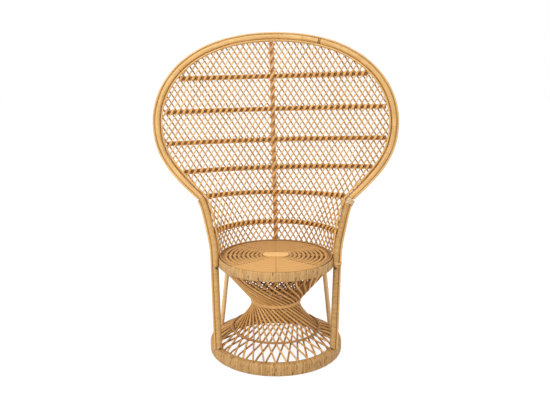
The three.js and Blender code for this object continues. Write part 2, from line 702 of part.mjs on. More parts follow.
/** Shortens the longer of two neighbouring canes where the turn between them would be too sharp. */
function easeTurn(first, second, end, slant) {
  const along = new THREE.Vector2(slant, LATTICE_SLOPE).normalize();
  const from = new THREE.Vector2(first.girthAt(first.ends[end]), first.ends[end]);
  const link = new THREE.Vector2(second.girthAt(second.ends[end]), second.ends[end]).sub(from);
  const run = link.dot(along);
  const gap = Math.abs(link.cross(along));
  const excess = Math.abs(run) - gap / Math.tan(radians(SHARPEST_TURN));
  if (excess <= 0) return;
  const secondIsLonger = (end === 1) === (run > 0);
  const longer = secondIsLonger ? second : first;
  longer.ends[end] += (end === 1 ? -1 : 1) * excess * along.y;
}

/** Heights of the bends in one cane: where it crosses a stay, and between, closer on the tub than the fan. */
function bendHeights({ girthAt, ends: [low, high] }) {
  const sine = Math.sin(Math.atan(LATTICE_SLOPE));
  const crossings = stayHeights.map((height, i) => height + STAY_TILT[i] * girthAt(height));
  const knots = [...crossings.filter((z) => z > low + LATTICE_CANE && z < high - LATTICE_CANE), high];
  const heights = [low];
  for (const to of knots) {
    const from = heights[heights.length - 1];
    const step = sine * (from < TUB_END_Z ? TUB_STEP : FAN_STEP);
    const count = Math.ceil((to - from) / step);
    for (let i = 1; i <= count; i += 1) heights.push(from + ((to - from) * i) / count);
  }
  return heights;
}

/** One length of cane laid back and forth over a run of neighbouring lines. */
function laidCane(lines, slant, facing) {
  lines.slice(1).forEach((line, i) => easeTurn(lines[i], line, i % 2 === 0 ? 1 : 0, slant));
  const path = [];
  lines.forEach((line, i) => {
    const pass = bendHeights(line).map((z) => station(line.girthAt(z), z, facing * layerReach));
    path.push(...(i % 2 === 0 ? pass : pass.reverse()));
  });
  return sweep(path, polygon(3, -facing * LATTICE_CANE));
}

for (const [layer, slant, facing] of [['front', 1, -1], ['rear', -1, 1]]) {
  const lines = layerLines(slant);
  const share = Math.ceil(lines.length / LATTICE_GROUPS);
  for (let i = 0; i < LATTICE_GROUPS; i += 1) {
    const run = lines.slice(i * share, (i + 1) * share);
    addPiece(`back_${layer}_canes_${i + 1}`, laidCane(run, slant, facing), RATTAN);
  }
}

// The origin is the middle of the chair's footprint box, on the floor
const bounds = new THREE.Box3().setFromObject(chair);
const middle = bounds.getCenter(new THREE.Vector3());
chair.position.set(-middle.x, -middle.y, -bounds.min.z);

export default chair;
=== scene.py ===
"""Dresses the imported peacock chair: rattan poles, canes, peel wrapping and a woven seat, in metres."""
import logging
import math
import random
from collections.abc import Iterator, Sequence
from contextlib import contextmanager
from dataclasses import dataclass, field, replace
from enum import Enum

import bpy
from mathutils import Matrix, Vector


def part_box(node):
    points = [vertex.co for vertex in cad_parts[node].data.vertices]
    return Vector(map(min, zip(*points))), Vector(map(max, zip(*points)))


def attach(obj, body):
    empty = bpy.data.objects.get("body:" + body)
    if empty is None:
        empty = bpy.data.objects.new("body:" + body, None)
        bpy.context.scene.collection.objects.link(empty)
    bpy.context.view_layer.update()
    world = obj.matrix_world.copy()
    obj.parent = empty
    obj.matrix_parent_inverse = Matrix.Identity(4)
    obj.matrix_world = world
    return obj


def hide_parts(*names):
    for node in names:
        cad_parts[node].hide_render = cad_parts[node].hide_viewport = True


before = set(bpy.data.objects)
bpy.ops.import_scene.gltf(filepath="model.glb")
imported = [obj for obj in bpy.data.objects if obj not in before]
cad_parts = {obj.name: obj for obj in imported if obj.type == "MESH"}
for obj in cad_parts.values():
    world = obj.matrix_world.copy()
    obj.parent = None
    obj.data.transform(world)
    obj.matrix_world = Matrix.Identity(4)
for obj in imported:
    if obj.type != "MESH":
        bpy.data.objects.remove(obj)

LOG = logging.getLogger("peacock_chair")
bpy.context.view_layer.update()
BODY = "root"
TAU = 2 * math.pi
UP = Vector((0.0, 0.0, 1.0))
MERGE = 1e-6
SMOOTH_ANGLE = math.radians(50)
LANE_EDGE = 0.02  # share of a strand's map left free at each side
PEEL_TURN = 0.0052  # pitch of the peel wound on the legs
CANE_SWELL = 0.0003  # swelling at the joints of a thin cane
THIN_CORNERS = 6  # corners of a section, for the thinnest canes up to the pole of the rim
CANE_CORNERS = 8
LEG_CORNERS = 14
RIM_CORNERS = 16
NOISE_ROUGHNESS = 0.6

Colour = tuple[float, float, float, float]
Plan = tuple[float, float]


def tint(red: int, green: int, blue: int) -> Colour:
    """Give the linear colour of three display levels.

    Args:
        red: level from 0 to 255.
        green: level from 0 to 255.
        blue: level from 0 to 255.

    Returns:
        The opaque colour for a shader socket.
    """
    shares = [level / 255 for level in (red, green, blue)]
    linear = [c / 12.92 if c <= 0.04045 else ((c + 0.055) / 1.055) ** 2.4 for c in shares]
    return (linear[0], linear[1], linear[2], 1.0)


def eased(value: float, low: float, high: float) -> float:
    """Rise smoothly from 0 at the low mark to 1 at the high mark.

    Args:
        value: the number to place between the marks.
        low: mark for 0, which may lie above the high mark.
        high: mark for 1.

    Returns:
        The smooth share.
    """
    share = min(1.0, max(0.0, (value - low) / (high - low)))
    return share * share * (3 - 2 * share)


# Finishes


class Socket:
    """An output of a node tree, with operators that add Math nodes."""

    def __init__(self, recipe: "Recipe", output: bpy.types.NodeSocket) -> None:
        """Keep the output and the recipe that it belongs to."""
        self.recipe = recipe
        self.output = output

    def _math(self, operation: str, *terms: "Socket | float") -> "Socket":
        """Add a Math node on the terms."""
        return self.recipe.add("ShaderNodeMath", {"operation": operation}, dict(enumerate(terms)))

    def __add__(self, other: "Socket | float") -> "Socket":
        """Add a number or socket."""
        return self._math("ADD", self, other)

    __radd__ = __add__

    def __sub__(self, other: "Socket | float") -> "Socket":
        """Take a number or socket away."""
        return self._math("SUBTRACT", self, other)

    def __rsub__(self, other: "Socket | float") -> "Socket":
        """Take this socket from a number."""
        return self._math("SUBTRACT", other, self)

    def __mul__(self, other: "Socket | float") -> "Socket":
        """Multiply by a number or socket."""
        return self._math("MULTIPLY", self, other)

    def __truediv__(self, other: "Socket | float") -> "Socket":
        """Divide by a number or socket."""
        return self._math("DIVIDE", self, other)

    def __abs__(self) -> "Socket":
        """Drop the sign."""
        return self._math("ABSOLUTE", self)

    def sibling(self, output: int | str) -> "Socket":
        """Take another output of the same node."""
        return Socket(self.recipe, self.output.node.outputs[output])

    def floor(self) -> "Socket":
        """Round down to a whole number."""
        return self._math("FLOOR", self)

    def fract(self) -> "Socket":
        """Keep the part after the point."""
        return self._math("FRACT", self)

    def eased(self, low: float, high: float) -> "Socket":
        """Rise smoothly from 0 at the low mark to 1 at the high mark."""
        marks = {"Value": self, "From Min": low, "From Max": high}
        return self.recipe.add("ShaderNodeMapRange", {"interpolation_type": "SMOOTHSTEP"}, marks)


class Recipe:
    """The node tree of a material or of the room."""

    def __init__(self, owner: bpy.types.Material | bpy.types.World) -> None:
        """Empty the owner's node tree."""
        owner.use_nodes = True
        self.tree = owner.node_tree
        self.tree.nodes.clear()

    def add(self, kind: str, settings: dict, sockets: dict, output: int | str = 0) -> Socket:
        """Add a node.

        Args:
            kind: the node's type.
            settings: its properties, set before its sockets.
            sockets: value or link of each input.
            output: the output that is wanted.

        Returns:
            That output.
        """
        node = self.tree.nodes.new(kind)
        for key, value in settings.items():
            setattr(node, key, value)
        for key, value in sockets.items():
            if isinstance(value, Socket):
                self.tree.links.new(value.output, node.inputs[key])
            else:
                node.inputs[key].default_value = value
        return Socket(self, node.outputs[output] if node.outputs else None)

    def mix(self, share: Socket, first: Socket | Colour, second: Socket | Colour) -> Socket:
        """Blend two colours."""
        sockets = {0: share, 6: first, 7: second}
        return self.add("ShaderNodeMix", {"data_type": "RGBA"}, sockets, 2)

    def place(self, x: Socket, y: Socket) -> Socket:
        """Join two numbers into a place."""
        return self.add("ShaderNodeCombineXYZ", {}, {0: x, 1: y})

    def noise(self, place: Socket, scale: float = 1.0, detail: float = 2.0) -> Socket:
        """Read smooth noise at a place."""
        sockets = {"Vector": place, "Scale": scale, "Detail": detail, "Roughness": NOISE_ROUGHNESS}
        return self.add("ShaderNodeTexNoise", {"noise_dimensions": "3D"}, sockets)

    def chance(self, number: Socket) -> Socket:
        """Draw a number between 0 and 1 for each whole number."""
        return self.add("ShaderNodeTexWhiteNoise", {"noise_dimensions": "1D"}, {"W": number})

    def seen(self) -> Socket:
        """Find whether the eye meets a surface, straight on or by way of a gloss or a pane."""
        straight = self.add("ShaderNodeLightPath", {}, {}, "Is Camera Ray")
        return straight + straight.sibling("Is Glossy Ray") + straight.sibling("Is Transmission Ray")

    def close(self, shader: Socket, kind: str = "ShaderNodeOutputMaterial") -> None:
        """Give the owner its surface."""
        self.add(kind, {}, {"Surface": shader})


Lanes = tuple[Socket, Socket, Socket]  # length along a strand, its number and the share across it


@dataclass(frozen=True)
class Grain:
    """Noise drawn out along the strands."""

    rate: float  # changes in a metre along a strand
    across: float  # changes over its width
    apart: float  # shift from one strand to the next
    detail: float = 2.0

    def read(self, recipe: Recipe, lanes: Lanes) -> Socket:
        """Read the noise on the strands."""
        along, number, across = lanes
        place = recipe.place(along * self.rate, across * self.across + number * self.apart)
        return recipe.noise(place, detail=self.detail)


DRIFT = Grain(9.0, 0.0, 3.71)
FIBRE = Grain(14.0, 9.0, 5.3, detail=3.0)
LINE = Grain(5.0, 16.0, 6.1)
FLECK = Grain(45.0, 0.8, 8.17)
SEAM_SHADE_MARKS = (0.62, 1.0)
LINE_MARKS = (0.55, 0.72)
FLECK_MARKS = (0.56, 0.68)
# dark of a finish's own flecks, lines and joints, and of its painted shade in seams and weave gaps
DUSK = tint(88, 54, 20)


class Lay(Enum):
    """How rattan lies on a piece."""

    CANE = "a cane along each strand"
    WOUND = "peel wound round the strand"
    STRIPS = "peel strips side by side"
    SOLID = "a bare pole without a map"


@dataclass(frozen=True)
class Rattan:
    """A rattan finish. Its map runs in metres along a strand and counts the strands across."""

    name: str
    pale: Colour
    deep: Colour
    dark: Colour = DUSK
    lay: Lay = Lay.CANE
    spread: float = 0.5  # tone from strand to strand
    mottle: float = 0.5  # tone along a strand
    grain: float = 0.4  # fine lines along the fibres
    joints: float = 0.0  # mean spacing of the dark rings on a pole
    joint_width: float = 0.0016
    joint_depth: float = 0.8
    joint_apart: float = 11.31  # shift of the rings from one pole to the next
    lines: float = 0.0  # long dark lines along a strand
    fleck: float = 0.0  # short dark streaks, one strand wide
    fleck_rate: float = FLECK.rate
    turn_length: float = 0.08  # of peel, once round a pole
    turn_apart: float = 977.0  # shift of the turns from one pole to the next
    crevice_shade: float = 0.0  # painted shade in the seams between strips or turns
    crevice_sink: float = 1.5
    gaps: str = ""  # attribute of the painted shade in a weave's gaps, holes and creases and over its shaded sectors, mixed in as dark
    roughness: float = 0.48
    gloss_varies: float = 0.25
    sheen: float = 0.3
    relief: float = 0.0003
    relief_strength: float = 0.6
    solid_radius: float = 0.25  # stands for that of a pole without a map
    solid_fibres: float = 90.0

    def material(self) -> bpy.types.Material:
        """Make the finish once and find it again after that."""
        return bpy.data.materials.get(self.name) or self._mixed()

    def _mixed(self) -> bpy.types.Material:
        """Mix the colour, gloss and relief of the finish.

        Returns:
            The new material.
        """
        material = bpy.data.materials.new(self.name)
        recipe = Recipe(material)
        lanes = self._lanes(recipe)
        along, number, across = lanes
        fibre = FIBRE.read(recipe, lanes)
        tone = 0.5 + (recipe.chance(number) - 0.5) * self.spread
        tone = tone + (DRIFT.read(recipe, lanes) - 0.5) * (2 * self.mottle)
        tone = tone + (fibre - 0.5) * (2 * self.grain)
        colour = recipe.mix(tone.eased(0.0, 1.0), self.deep, self.pale)
        height = fibre
        marks: list[Socket] = []
        # painted shade in the seam between two strips or turns, which the bump also sinks
        if self.crevice_shade:
            seam = abs(across * 2.0 - 1.0).eased(*SEAM_SHADE_MARKS)
            marks.append(seam * self.crevice_shade)
            height = height - seam * self.crevice_sink
        if self.lines:
            marks.append(LINE.read(recipe, lanes).eased(*LINE_MARKS) * self.lines)
        if self.fleck:
            spot = replace(FLECK, rate=self.fleck_rate).read(recipe, lanes)
            marks.append(spot.eased(*FLECK_MARKS) * self.fleck)
        if self.joints:
            marks.append(self._rings(recipe, along, number) * self.joint_depth)
        if self.gaps:
            marks.append(recipe.add("ShaderNodeAttribute", {"attribute_name": self.gaps}, {}, "Fac"))
        for mark in marks:
            colour = recipe.mix(mark, colour, self.dark)
        relief = {"Strength": self.relief_strength, "Distance": self.relief, "Height": height}
        bump = recipe.add("ShaderNodeBump", {}, relief)
        gloss = self.roughness + (fibre - 0.5) * self.gloss_varies
        looks = {"Base Color": colour, "Roughness": gloss, "Normal": bump, "Specular IOR Level": self.sheen}
        recipe.close(recipe.add("ShaderNodeBsdfPrincipled", {}, looks))
        return material

    def _lanes(self, recipe: Recipe) -> Lanes:
        """Find the length along a strand, its number and the share across it.

        Args:
            recipe: the finish's node tree.

        Returns:
            The three sockets.
        """
        if self.lay is Lay.SOLID:
            place = recipe.add("ShaderNodeTexCoord", {}, {}, "Object")
            x = recipe.add("ShaderNodeSeparateXYZ", {}, {0: place})
            turn = recipe.add("ShaderNodeMath", {"operation": "ARCTAN2"}, {0: x.sibling(1), 1: x})
            return turn * self.solid_radius, x.sibling(2).floor(), recipe.noise(place, self.solid_fibres)
        spot = recipe.add("ShaderNodeUVMap", {"uv_map": "UVMap"}, {})
        along = recipe.add("ShaderNodeSeparateXYZ", {}, {0: spot})
        lane_count = along.sibling(1)
        if self.lay is Lay.WOUND:
            turns = along / PEEL_TURN
            number = turns.floor() + lane_count.floor() * self.turn_apart
            return lane_count.fract() * self.turn_length, number, turns.fract()
        return along, lane_count.floor(), lane_count.fract()

    def _rings(self, recipe: Recipe, along: Socket, number: Socket) -> Socket:
        """Mark the joints of a pole, at uneven steps along it."""
        reach = along / self.joints + number * self.joint_apart
        sockets = {"W": reach, "Scale": 1.0, "Randomness": 1.0}
        settings = {"voronoi_dimensions": "1D", "feature": "F1"}
        near = recipe.add("ShaderNodeTexVoronoi", settings, sockets)
        return 1.0 - near.eased(0.0, self.joint_width / self.joints)


def slim_cane(name: str, pale: Colour, deep: Colour, spread: float) -> Rattan:
    """Give the finish of the slim canes in the lattice and the pedestal."""
    return Rattan(name, pale, deep, spread=spread, mottle=0.4, joints=0.3, joint_depth=0.3)


POLE = Rattan("rim_pole_skin", tint(240, 198, 132), tint(206, 158, 92), spread=0.1, mottle=0.45, grain=0.5,
              joints=0.17, joint_width=0.0020, joint_depth=0.38, lines=0.35)
WOUND_PEEL = Rattan("wound_peel", tint(216, 172, 110), tint(180, 136, 78), lay=Lay.WOUND, spread=0.35,
                    mottle=0.2, grain=0.2, fleck=0.55, fleck_rate=38.0, crevice_shade=0.22)
SMOOTH_PEEL = Rattan("smooth_wound_peel", tint(222, 178, 112), tint(190, 142, 80), lay=Lay.WOUND,
                     spread=0.25, mottle=0.2, grain=0.2, fleck=0.22, fleck_rate=38.0, crevice_shade=0.16)
HOOP_CANE = Rattan("hoop_cane", tint(240, 196, 128), tint(206, 156, 88), spread=0.2, mottle=0.4,
                   joints=0.26, joint_depth=0.4)
# dark strand laid in the grooves beside the poles, painted as the shadow in them
GROOVE_SHADOW_CANE = Rattan("painted_groove_shadow", tint(194, 144, 84), tint(158, 110, 58), spread=0.2)
FRONT_CANE = slim_cane("front_lattice_cane", tint(246, 206, 142), tint(214, 166, 98), 0.7)
# the rear layer's cane: a darker copy of the front cane, painted as the shade behind the front layer
SHADED_REAR_CANE = slim_cane("rear_lattice_cane_painted_shade", tint(216, 166, 98), tint(176, 128, 68), 0.7)
OUTER_CANE = slim_cane("outer_pedestal_cane", tint(240, 192, 122), tint(200, 146, 80), 0.6)
# the inner family's cane: a darker copy of the outer cane, painted as the shade between the outer canes
SHADED_INNER_CANE = slim_cane("inner_pedestal_cane_painted_shade", tint(212, 160, 94), tint(164, 114, 58), 0.6)
REAR_LEG_SKIN = Rattan("rear_leg_skin", tint(250, 214, 160), tint(230, 188, 130), spread=0.1, mottle=0.4,
                       joints=0.15, joint_depth=0.4)
BASE_PEEL = Rattan("base_ring_peel", tint(218, 174, 114), tint(178, 132, 76), lay=Lay.STRIPS, mottle=0.3,
                   grain=0.35, fleck=0.85, fleck_rate=38.0, crevice_shade=0.25)
SEAT_PEEL = Rattan("seat_ring_peel", tint(226, 182, 122), tint(186, 140, 82), lay=Lay.STRIPS, spread=0.4,
                   mottle=0.3, grain=0.35, fleck=0.85, fleck_rate=30.0, crevice_shade=0.25)
BINDING_PEEL = Rattan("waist_binding_peel", tint(238, 190, 120), tint(206, 154, 88), spread=0.4)
PLATE_PEEL = Rattan("centre_plate_peel", tint(250, 206, 138), tint(238, 188, 120), grain=0.3)
# its dark colour, read through the hole attribute, paints the shade of the gaps, holes, creases and border
# line, and of the rear and side sectors
DECK_WEAVE = Rattan("seat_deck_weave", tint(228, 178, 112), tint(204, 152, 86), tint(76, 42, 14),
                    mottle=0.3, grain=0.3, gaps="hole")
# dark core of a stay: the stay's own brown, deepened as painted shade between its two canes
SHADED_STAY_CORE = Rattan("stay_core_painted_shade", tint(170, 116, 58), tint(120, 76, 34), spread=0.2, mottle=0.6, grain=0.5)
STAY_EDGE = Rattan("stay_edge_cane", tint(232, 180, 110), tint(198, 142, 76), spread=0.3)
STAY_TWINE = Rattan("stay_twine", tint(236, 186, 118), tint(206, 152, 84), spread=0.3)
SPINE_CANE = Rattan("spine_cane", tint(220, 164, 96), tint(186, 132, 70), mottle=0.4)
LASHING_PEEL = Rattan("lashing_peel", tint(244, 220, 182), tint(220, 188, 140))
# darker cane of the skirt hoop, painted as the shade on its front and below it
SHADED_SKIRT_HOOP = Rattan("skirt_hoop_painted_shade", tint(204, 152, 88), tint(150, 102, 52), spread=0.2)
# dark of the rim's two turns, and of the wedges painted as the shade in the leg notches
DARK_TURNS_AND_NOTCH_SHADE = Rattan("dark_rim_turns_and_notch_shade", tint(92, 52, 22), tint(58, 30, 12), spread=0.2)
BARE_POLE = Rattan("bare_inner_pole", tint(208, 162, 102), tint(170, 122, 66), lay=Lay.SOLID)


# Modelling


@dataclass(frozen=True)
class Station:
    """A point of a path and the rearward normal of the back there."""

    point: Vector
    normal: Vector


Path = list[Station]


@dataclass
class Strand:
    """A length of cane, pole or peel to sweep along a line of points."""

    points: list[Vector]
    radii: list[float]
    number: int = 0
    closed: bool = False
    flat: list[Vector] = field(default_factory=list)  # directions in which it is pressed flat
    press: float = 1.0  # thickness over width where it is pressed
    skin: int = 0  # which of the piece's finishes it takes

    def lengths(self) -> list[float]:
        """Measure the length at each point, and once more at the end of a closed strand."""
        return run_lengths(self.points + self.points[:1] if self.closed else self.points)


def run_lengths(points: Sequence[Vector]) -> list[float]:
    """Measure the length along a line at each of its points.

    Args:
        points: the line.

    Returns:
        One length for each point, from 0.
    """
    total = [0.0]
    for near, far in zip(points, points[1:]):
        total.append(total[-1] + (far - near).length)
    return total


def lane(number: int, share: float) -> float:
    """Find the place across a strand on the map, clear of its neighbours."""
    return number + LANE_EDGE + (1 - 2 * LANE_EDGE) * share


def polar(centre: Vector, radius: float, angle: float, z: float) -> Vector:
    """Find a point at a radius, an angle and a height round the chair's axis."""
    return centre + Vector((radius * math.cos(angle), radius * math.sin(angle), z))


def on_side(points: Sequence[Vector], sign: int) -> list[Vector]:
    """Copy points as they are for a sign of 1, or to the other side of the chair for -1."""
    return [Vector((sign * point.x, point.y, point.z)) for point in points]


def half_turn(away: Vector, middle: Vector) -> float:
    """Find a place's angle from the side, on the half of the chair where its face's middle lies."""
    return math.atan2(away.y * math.copysign(1, middle.x), abs(away.x))


def select_only(piece: bpy.types.Object) -> None:
    """Make a piece the only selected and the active object."""
    bpy.ops.object.select_all(action="DESELECT")
    piece.select_set(True)
    bpy.context.view_layer.objects.active = piece


def added(name: str) -> bpy.types.Object:
    """Name the object that was just added, and its mesh.

    Args:
        name: name of the piece.

    Returns:
        The object.
    """
    piece = bpy.context.object
    piece.name = name
    piece.data.name = name
    return piece


@contextmanager
def editing() -> Iterator[None]:
    """Open the active piece in edit mode with all of it selected, and close it again."""
    bpy.ops.object.mode_set(mode="EDIT")
    bpy.ops.mesh.select_all(action="SELECT")
    yield
    bpy.ops.object.mode_set(mode="OBJECT")


def closed_up(piece: bpy.types.Object) -> bpy.types.Object:
    """Merge the doubled points of a piece, turn its faces outwards and smooth it.

    Args:
        piece: the mesh object.

    Returns:
        The same object.
    """
    select_only(piece)
    with editing():
        bpy.ops.mesh.remove_doubles(threshold=MERGE)
        bpy.ops.mesh.normals_make_consistent(inside=False)
    bpy.ops.object.shade_smooth_by_angle(angle=SMOOTH_ANGLE)
    return piece


def swept(name: str, strands: Sequence[Strand], corners: int = CANE_CORNERS) -> bpy.types.Object:
    """Model strands as bevelled curves and turn them into one mesh.

    Args:
        name: name of the piece.
        strands: the strands in it.
        corners: corners of a strand's section, an even number from 4.

    Returns:
        The mesh object.
    """
    bpy.ops.object.select_all(action="DESELECT")
    bpy.ops.curve.primitive_nurbs_path_add()
    piece = added(name)
    curve = piece.data
    curve.splines.clear()
    curve.bevel_depth = 1.0
    curve.bevel_resolution = (corners - 4) // 2
    curve.use_fill_caps = True
    for strand in strands:
        spline = curve.splines.new("POLY")
        spline.points.add(len(strand.points) - 1)
        spline.points.foreach_set("co", [c for p in strand.points for c in (*p, 1.0)])
        spline.points.foreach_set("radius", strand.radii)
        spline.use_cyclic_u = strand.closed
    bpy.ops.object.convert(target="MESH")
    piece.data.name = name
    press_strands(piece.data, strands, corners)
    map_strands(piece.data, strands, corners)
    return closed_up(piece)


def press_strands(mesh: bpy.types.Mesh, strands: Sequence[Strand], corners: int) -> None:
    """Flatten the strands that are pressed.

    Args:
        mesh: mesh of the strands, its end caps first, from the last strand to the first.
        strands: the strands.
        corners: corners of a section.
    """
    rings = []
    for strand in reversed([strand for strand in strands if not strand.closed]):
        rings += [(strand, len(strand.points) - 1), (strand, 0)]
    for strand in strands:
        rings += [(strand, i) for i in range(len(strand.points))]
    for ring, (strand, i) in enumerate(rings):
        if not strand.flat:
            continue
        for vertex in mesh.vertices[ring * corners:(ring + 1) * corners]:
            proud = (vertex.co - strand.points[i]).dot(strand.flat[i])
            vertex.co -= strand.flat[i] * (proud * (1 - strand.press))


def map_strands(mesh: bpy.types.Mesh, strands: Sequence[Strand], corners: int) -> None:
    """Lay the map along each strand and give its faces their finish.

    Args:
        mesh: mesh of the strands, end caps first.
        strands: the strands.
        corners: corners of a section.
    """
    spots: list[float] = []
    skins: list[int] = []
    for strand in reversed([strand for strand in strands if not strand.closed]):
        total = strand.lengths()
        for length in (total[-1], total[0]):
            spots += [length, strand.number + 0.5] * (3 * (corners - 2))
            skins += [strand.skin] * (corners - 2)
    for strand in strands:
        total = strand.lengths()
        lanes = [lane(strand.number, j / corners) for j in range(corners + 1)]
        for near, far in zip(total, total[1:]):
            for low, high in zip(lanes, lanes[1:]):
                spots += [near, high, far, high, far, low, near, low]
        skins += [strand.skin] * (corners * (len(total) - 1))
    mesh.uv_layers["UVMap"].data.foreach_set("uv", spots)
    mesh.polygons.foreach_set("material_index", skins)


def chart(mesh: bpy.types.Mesh) -> bpy.types.MeshUVLoopLayer:
    """Find the mesh's map, or start it."""
    return mesh.uv_layers.get("UVMap") or mesh.uv_layers.new(name="UVMap")


def turned(name: str, profile: Sequence[Plan], columns: int, centre: Vector) -> bpy.types.Object:
    """Draw a profile point by point and spin it about the chair's axis.

    Args:
        name: name of the piece.
        profile: radius and height of each point.
        columns: steps round the axis.
        centre: a point on the axis.

    Returns:
        The mesh object, merged into a closed shell.
    """
    bpy.ops.object.select_all(action="DESELECT")
    bpy.ops.mesh.primitive_plane_add(size=0.01)
    piece = added(name)
    corners = [polar(centre, r, 0.0, z) for r, z in profile]
    with editing():
        bpy.ops.mesh.merge(type="CENTER")
        bpy.ops.transform.translate(value=corners[0])
        for near, far in zip(corners, corners[1:]):
            bpy.ops.mesh.extrude_region_move(TRANSFORM_OT_translate={"value": far - near})
        bpy.ops.mesh.select_all(action="SELECT")
        bpy.ops.mesh.spin(steps=columns, angle=TAU, center=centre, axis=UP)
    return closed_up(piece)


def dress(piece: bpy.types.Object, finishes: Sequence[Rattan], slot: str, *nodes: str) -> None:
    """Give a piece its finishes, its body and the nodes that it stands for.

    Args:
        piece: the finished mesh object.
        finishes: its finishes in the order of their slots.
        slot: the record's material slot; not used.
        nodes: CAD nodes that it replaces.
    """
    for finish in finishes:
        piece.data.materials.append(finish.material())
    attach(piece, BODY)
    if nodes:
        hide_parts(*nodes)
    faces = sum(len(face.vertices) - 2 for face in piece.data.polygons)
    LOG.info("%s: %d triangles, stands for %s", piece.name, faces, ", ".join(nodes) or "no node")


def spaced(points: Sequence[Vector], step: float) -> list[Vector]:
    """Walk a line of points in equal steps.

    Args:
        points: the corners of the line.
        step: largest distance between the new points.

    Returns:
        The new points, with both ends kept.
    """
    total = run_lengths(points)
    count = max(2, math.ceil(total[-1] / step))
    walked, k = [], 0
    for i in range(count + 1):
        reach = total[-1] * i / count
        while k < len(total) - 2 and total[k + 1] < reach:
            k += 1
        span = total[k + 1] - total[k]
        walked.append(points[k].lerp(points[k + 1], (reach - total[k]) / span if span else 0.0))
    return walked


def softened(points: Sequence[Vector], passes: int) -> list[Vector]:
    """Ease the bends of a line, with its ends kept.

    Args:
        points: the line.
        passes: how often each point is drawn halfway to the middle of its neighbours.

    Returns:
        The eased line.
    """
    line = [point.copy() for point in points]
    for _ in range(passes):
        inner = [(a + 2 * b + c) / 4 for a, b, c in zip(line, line[1:], line[2:])]
        line = [line[0], *inner, line[-1]]
    return line


def bezier(handles: Sequence[Plan], count: int) -> list[Plan]:
    """Sample a cubic curve.

    Args:
        handles: its four handles.
        count: number of steps.

    Returns:
        The points from the first handle to the last.
    """
    made = []
    for i in range(count + 1):
        t = i / count
        weights = ((1 - t) ** 3, 3 * t * (1 - t) ** 2, 3 * t * t * (1 - t), t ** 3)
        made.append((sum(w * h[0] for w, h in zip(weights, handles)),
                     sum(w * h[1] for w, h in zip(weights, handles))))
    return made


def direction(points: Sequence[Vector], i: int) -> Vector:
    """Find the direction of a line at one of its points."""
    return (points[min(i + 1, len(points) - 1)] - points[max(i - 1, 0)]).normalized()


# The back


@dataclass(frozen=True)
class BackSheet:
    """The curved sheet that the back is woven on: a tub round the seat that opens into a fan."""

    centre: Vector
    seat_top: float = 0.427
    tub_radius: float = 0.2623
    lean: float = 0.11
    lean_onset: float = 0.015
    fan_radius: float = 1.82
    fade: float = 0.244
    fade_power: float = 2.6
    probe: float = 0.0005

    def radius(self, z: float) -> float:
        """Find the plan radius at a height."""
        tub = math.exp(-((max(0.0, z - self.seat_top) / self.fade) ** self.fade_power))
        return 1 / (1 / self.fan_radius + (1 / self.tub_radius - 1 / self.fan_radius) * tub)

    def spine(self, z: float) -> float:
        """Find how far behind the chair's axis the sheet stands at a height."""
        climb = z - self.seat_top
        return self.tub_radius + self.lean * (climb + math.hypot(climb, self.lean_onset)) / 2

    def point(self, girth: float, z: float) -> Vector:
        """Find the point at a girth from the middle and a height."""
        radius = self.radius(z)
        turn = girth / radius
        behind = self.spine(z) - radius * (1 - math.cos(turn))
        return self.centre + Vector((radius * math.sin(turn), behind, z))

    def station(self, girth: float, z: float, offset: float = 0.0) -> Station:
        """Set a station off to the rear of the sheet.

        Args:
            girth: girth from the middle.
            z: height.
            offset: distance to the rear.

        Returns:
            The station.
        """
        along = self.point(girth + self.probe, z) - self.point(girth - self.probe, z)
        rise = self.point(girth, z + self.probe) - self.point(girth, z - self.probe)
        normal = rise.cross(along).normalized()
        return Station(self.point(girth, z) + normal * offset, normal)

    def girth_of(self, point: Vector) -> float:
        """Find the girth of a point near the sheet."""
        radius = self.radius(point.z)
        away = point - self.centre
        return radius * math.atan2(away.x, away.y - self.spine(point.z) + radius)


@dataclass
class BackEdge:
    """The line of the pole round the back, from the foot of the right arm to the top."""

    sheet: BackSheet
    foot: Plan = (0.469, 0.4055)
    shoulder: Plan = (0.372, 0.648)
    widest: Plan = (0.546, 0.981)
    crown: Plan = (0.0, 1.363)
    foot_reach: Plan = (-0.014, 0.075)
    arm_reach: Plan = (-0.032, -0.073)
    shoulder_reach: Plan = (0.099, 0.112)
    lower_reach: float = 0.150
    upper_reach: float = 0.165
    crown_reach: float = 0.400
    pole_offset: float = 0.0005
    pole: float = 0.025
    hoop: float = 0.009
    strip: float = 0.009
    strip_setback: float = 0.008
    # width of the dark strand painted as shadow in the grooves beside the pole
    groove: float = 0.003
    layer_reach: float = 0.00805
    clearance: float = 0.0003
    steps: int = 48

    def arm(self) -> Path:
        """Follow the arm up to the shoulder."""
        return self._curve(self.foot, self.foot_reach, self.arm_reach, self.shoulder)

    def fan(self) -> Path:
        """Follow the fan from the shoulder to the top."""
        lower = self._curve(self.shoulder, self.shoulder_reach, (0.0, -self.lower_reach), self.widest)
        upper = self._curve(self.widest, (0.0, self.upper_reach), (self.crown_reach, 0.0), self.crown)
        return lower + upper[1:]

    def _curve(self, start: Plan, leave: Plan, arrive: Plan, end: Plan) -> Path:
        """Follow one curve of the edge."""
        second = (start[0] + leave[0], start[1] + leave[1])
        third = (end[0] + arrive[0], end[1] + arrive[1])
        flat = bezier((start, second, third, end), self.steps)
        return [self.sheet.station(girth, z, self.pole_offset) for girth, z in flat]

    def hoop_line(self) -> Path:
        """Follow the hoop just inside the pole, in the middle of the sheet."""
        inward = (self.pole + self.hoop) / 2 + self.clearance
        return beside(self.arm() + self.fan()[1:], -inward, -self.pole_offset)


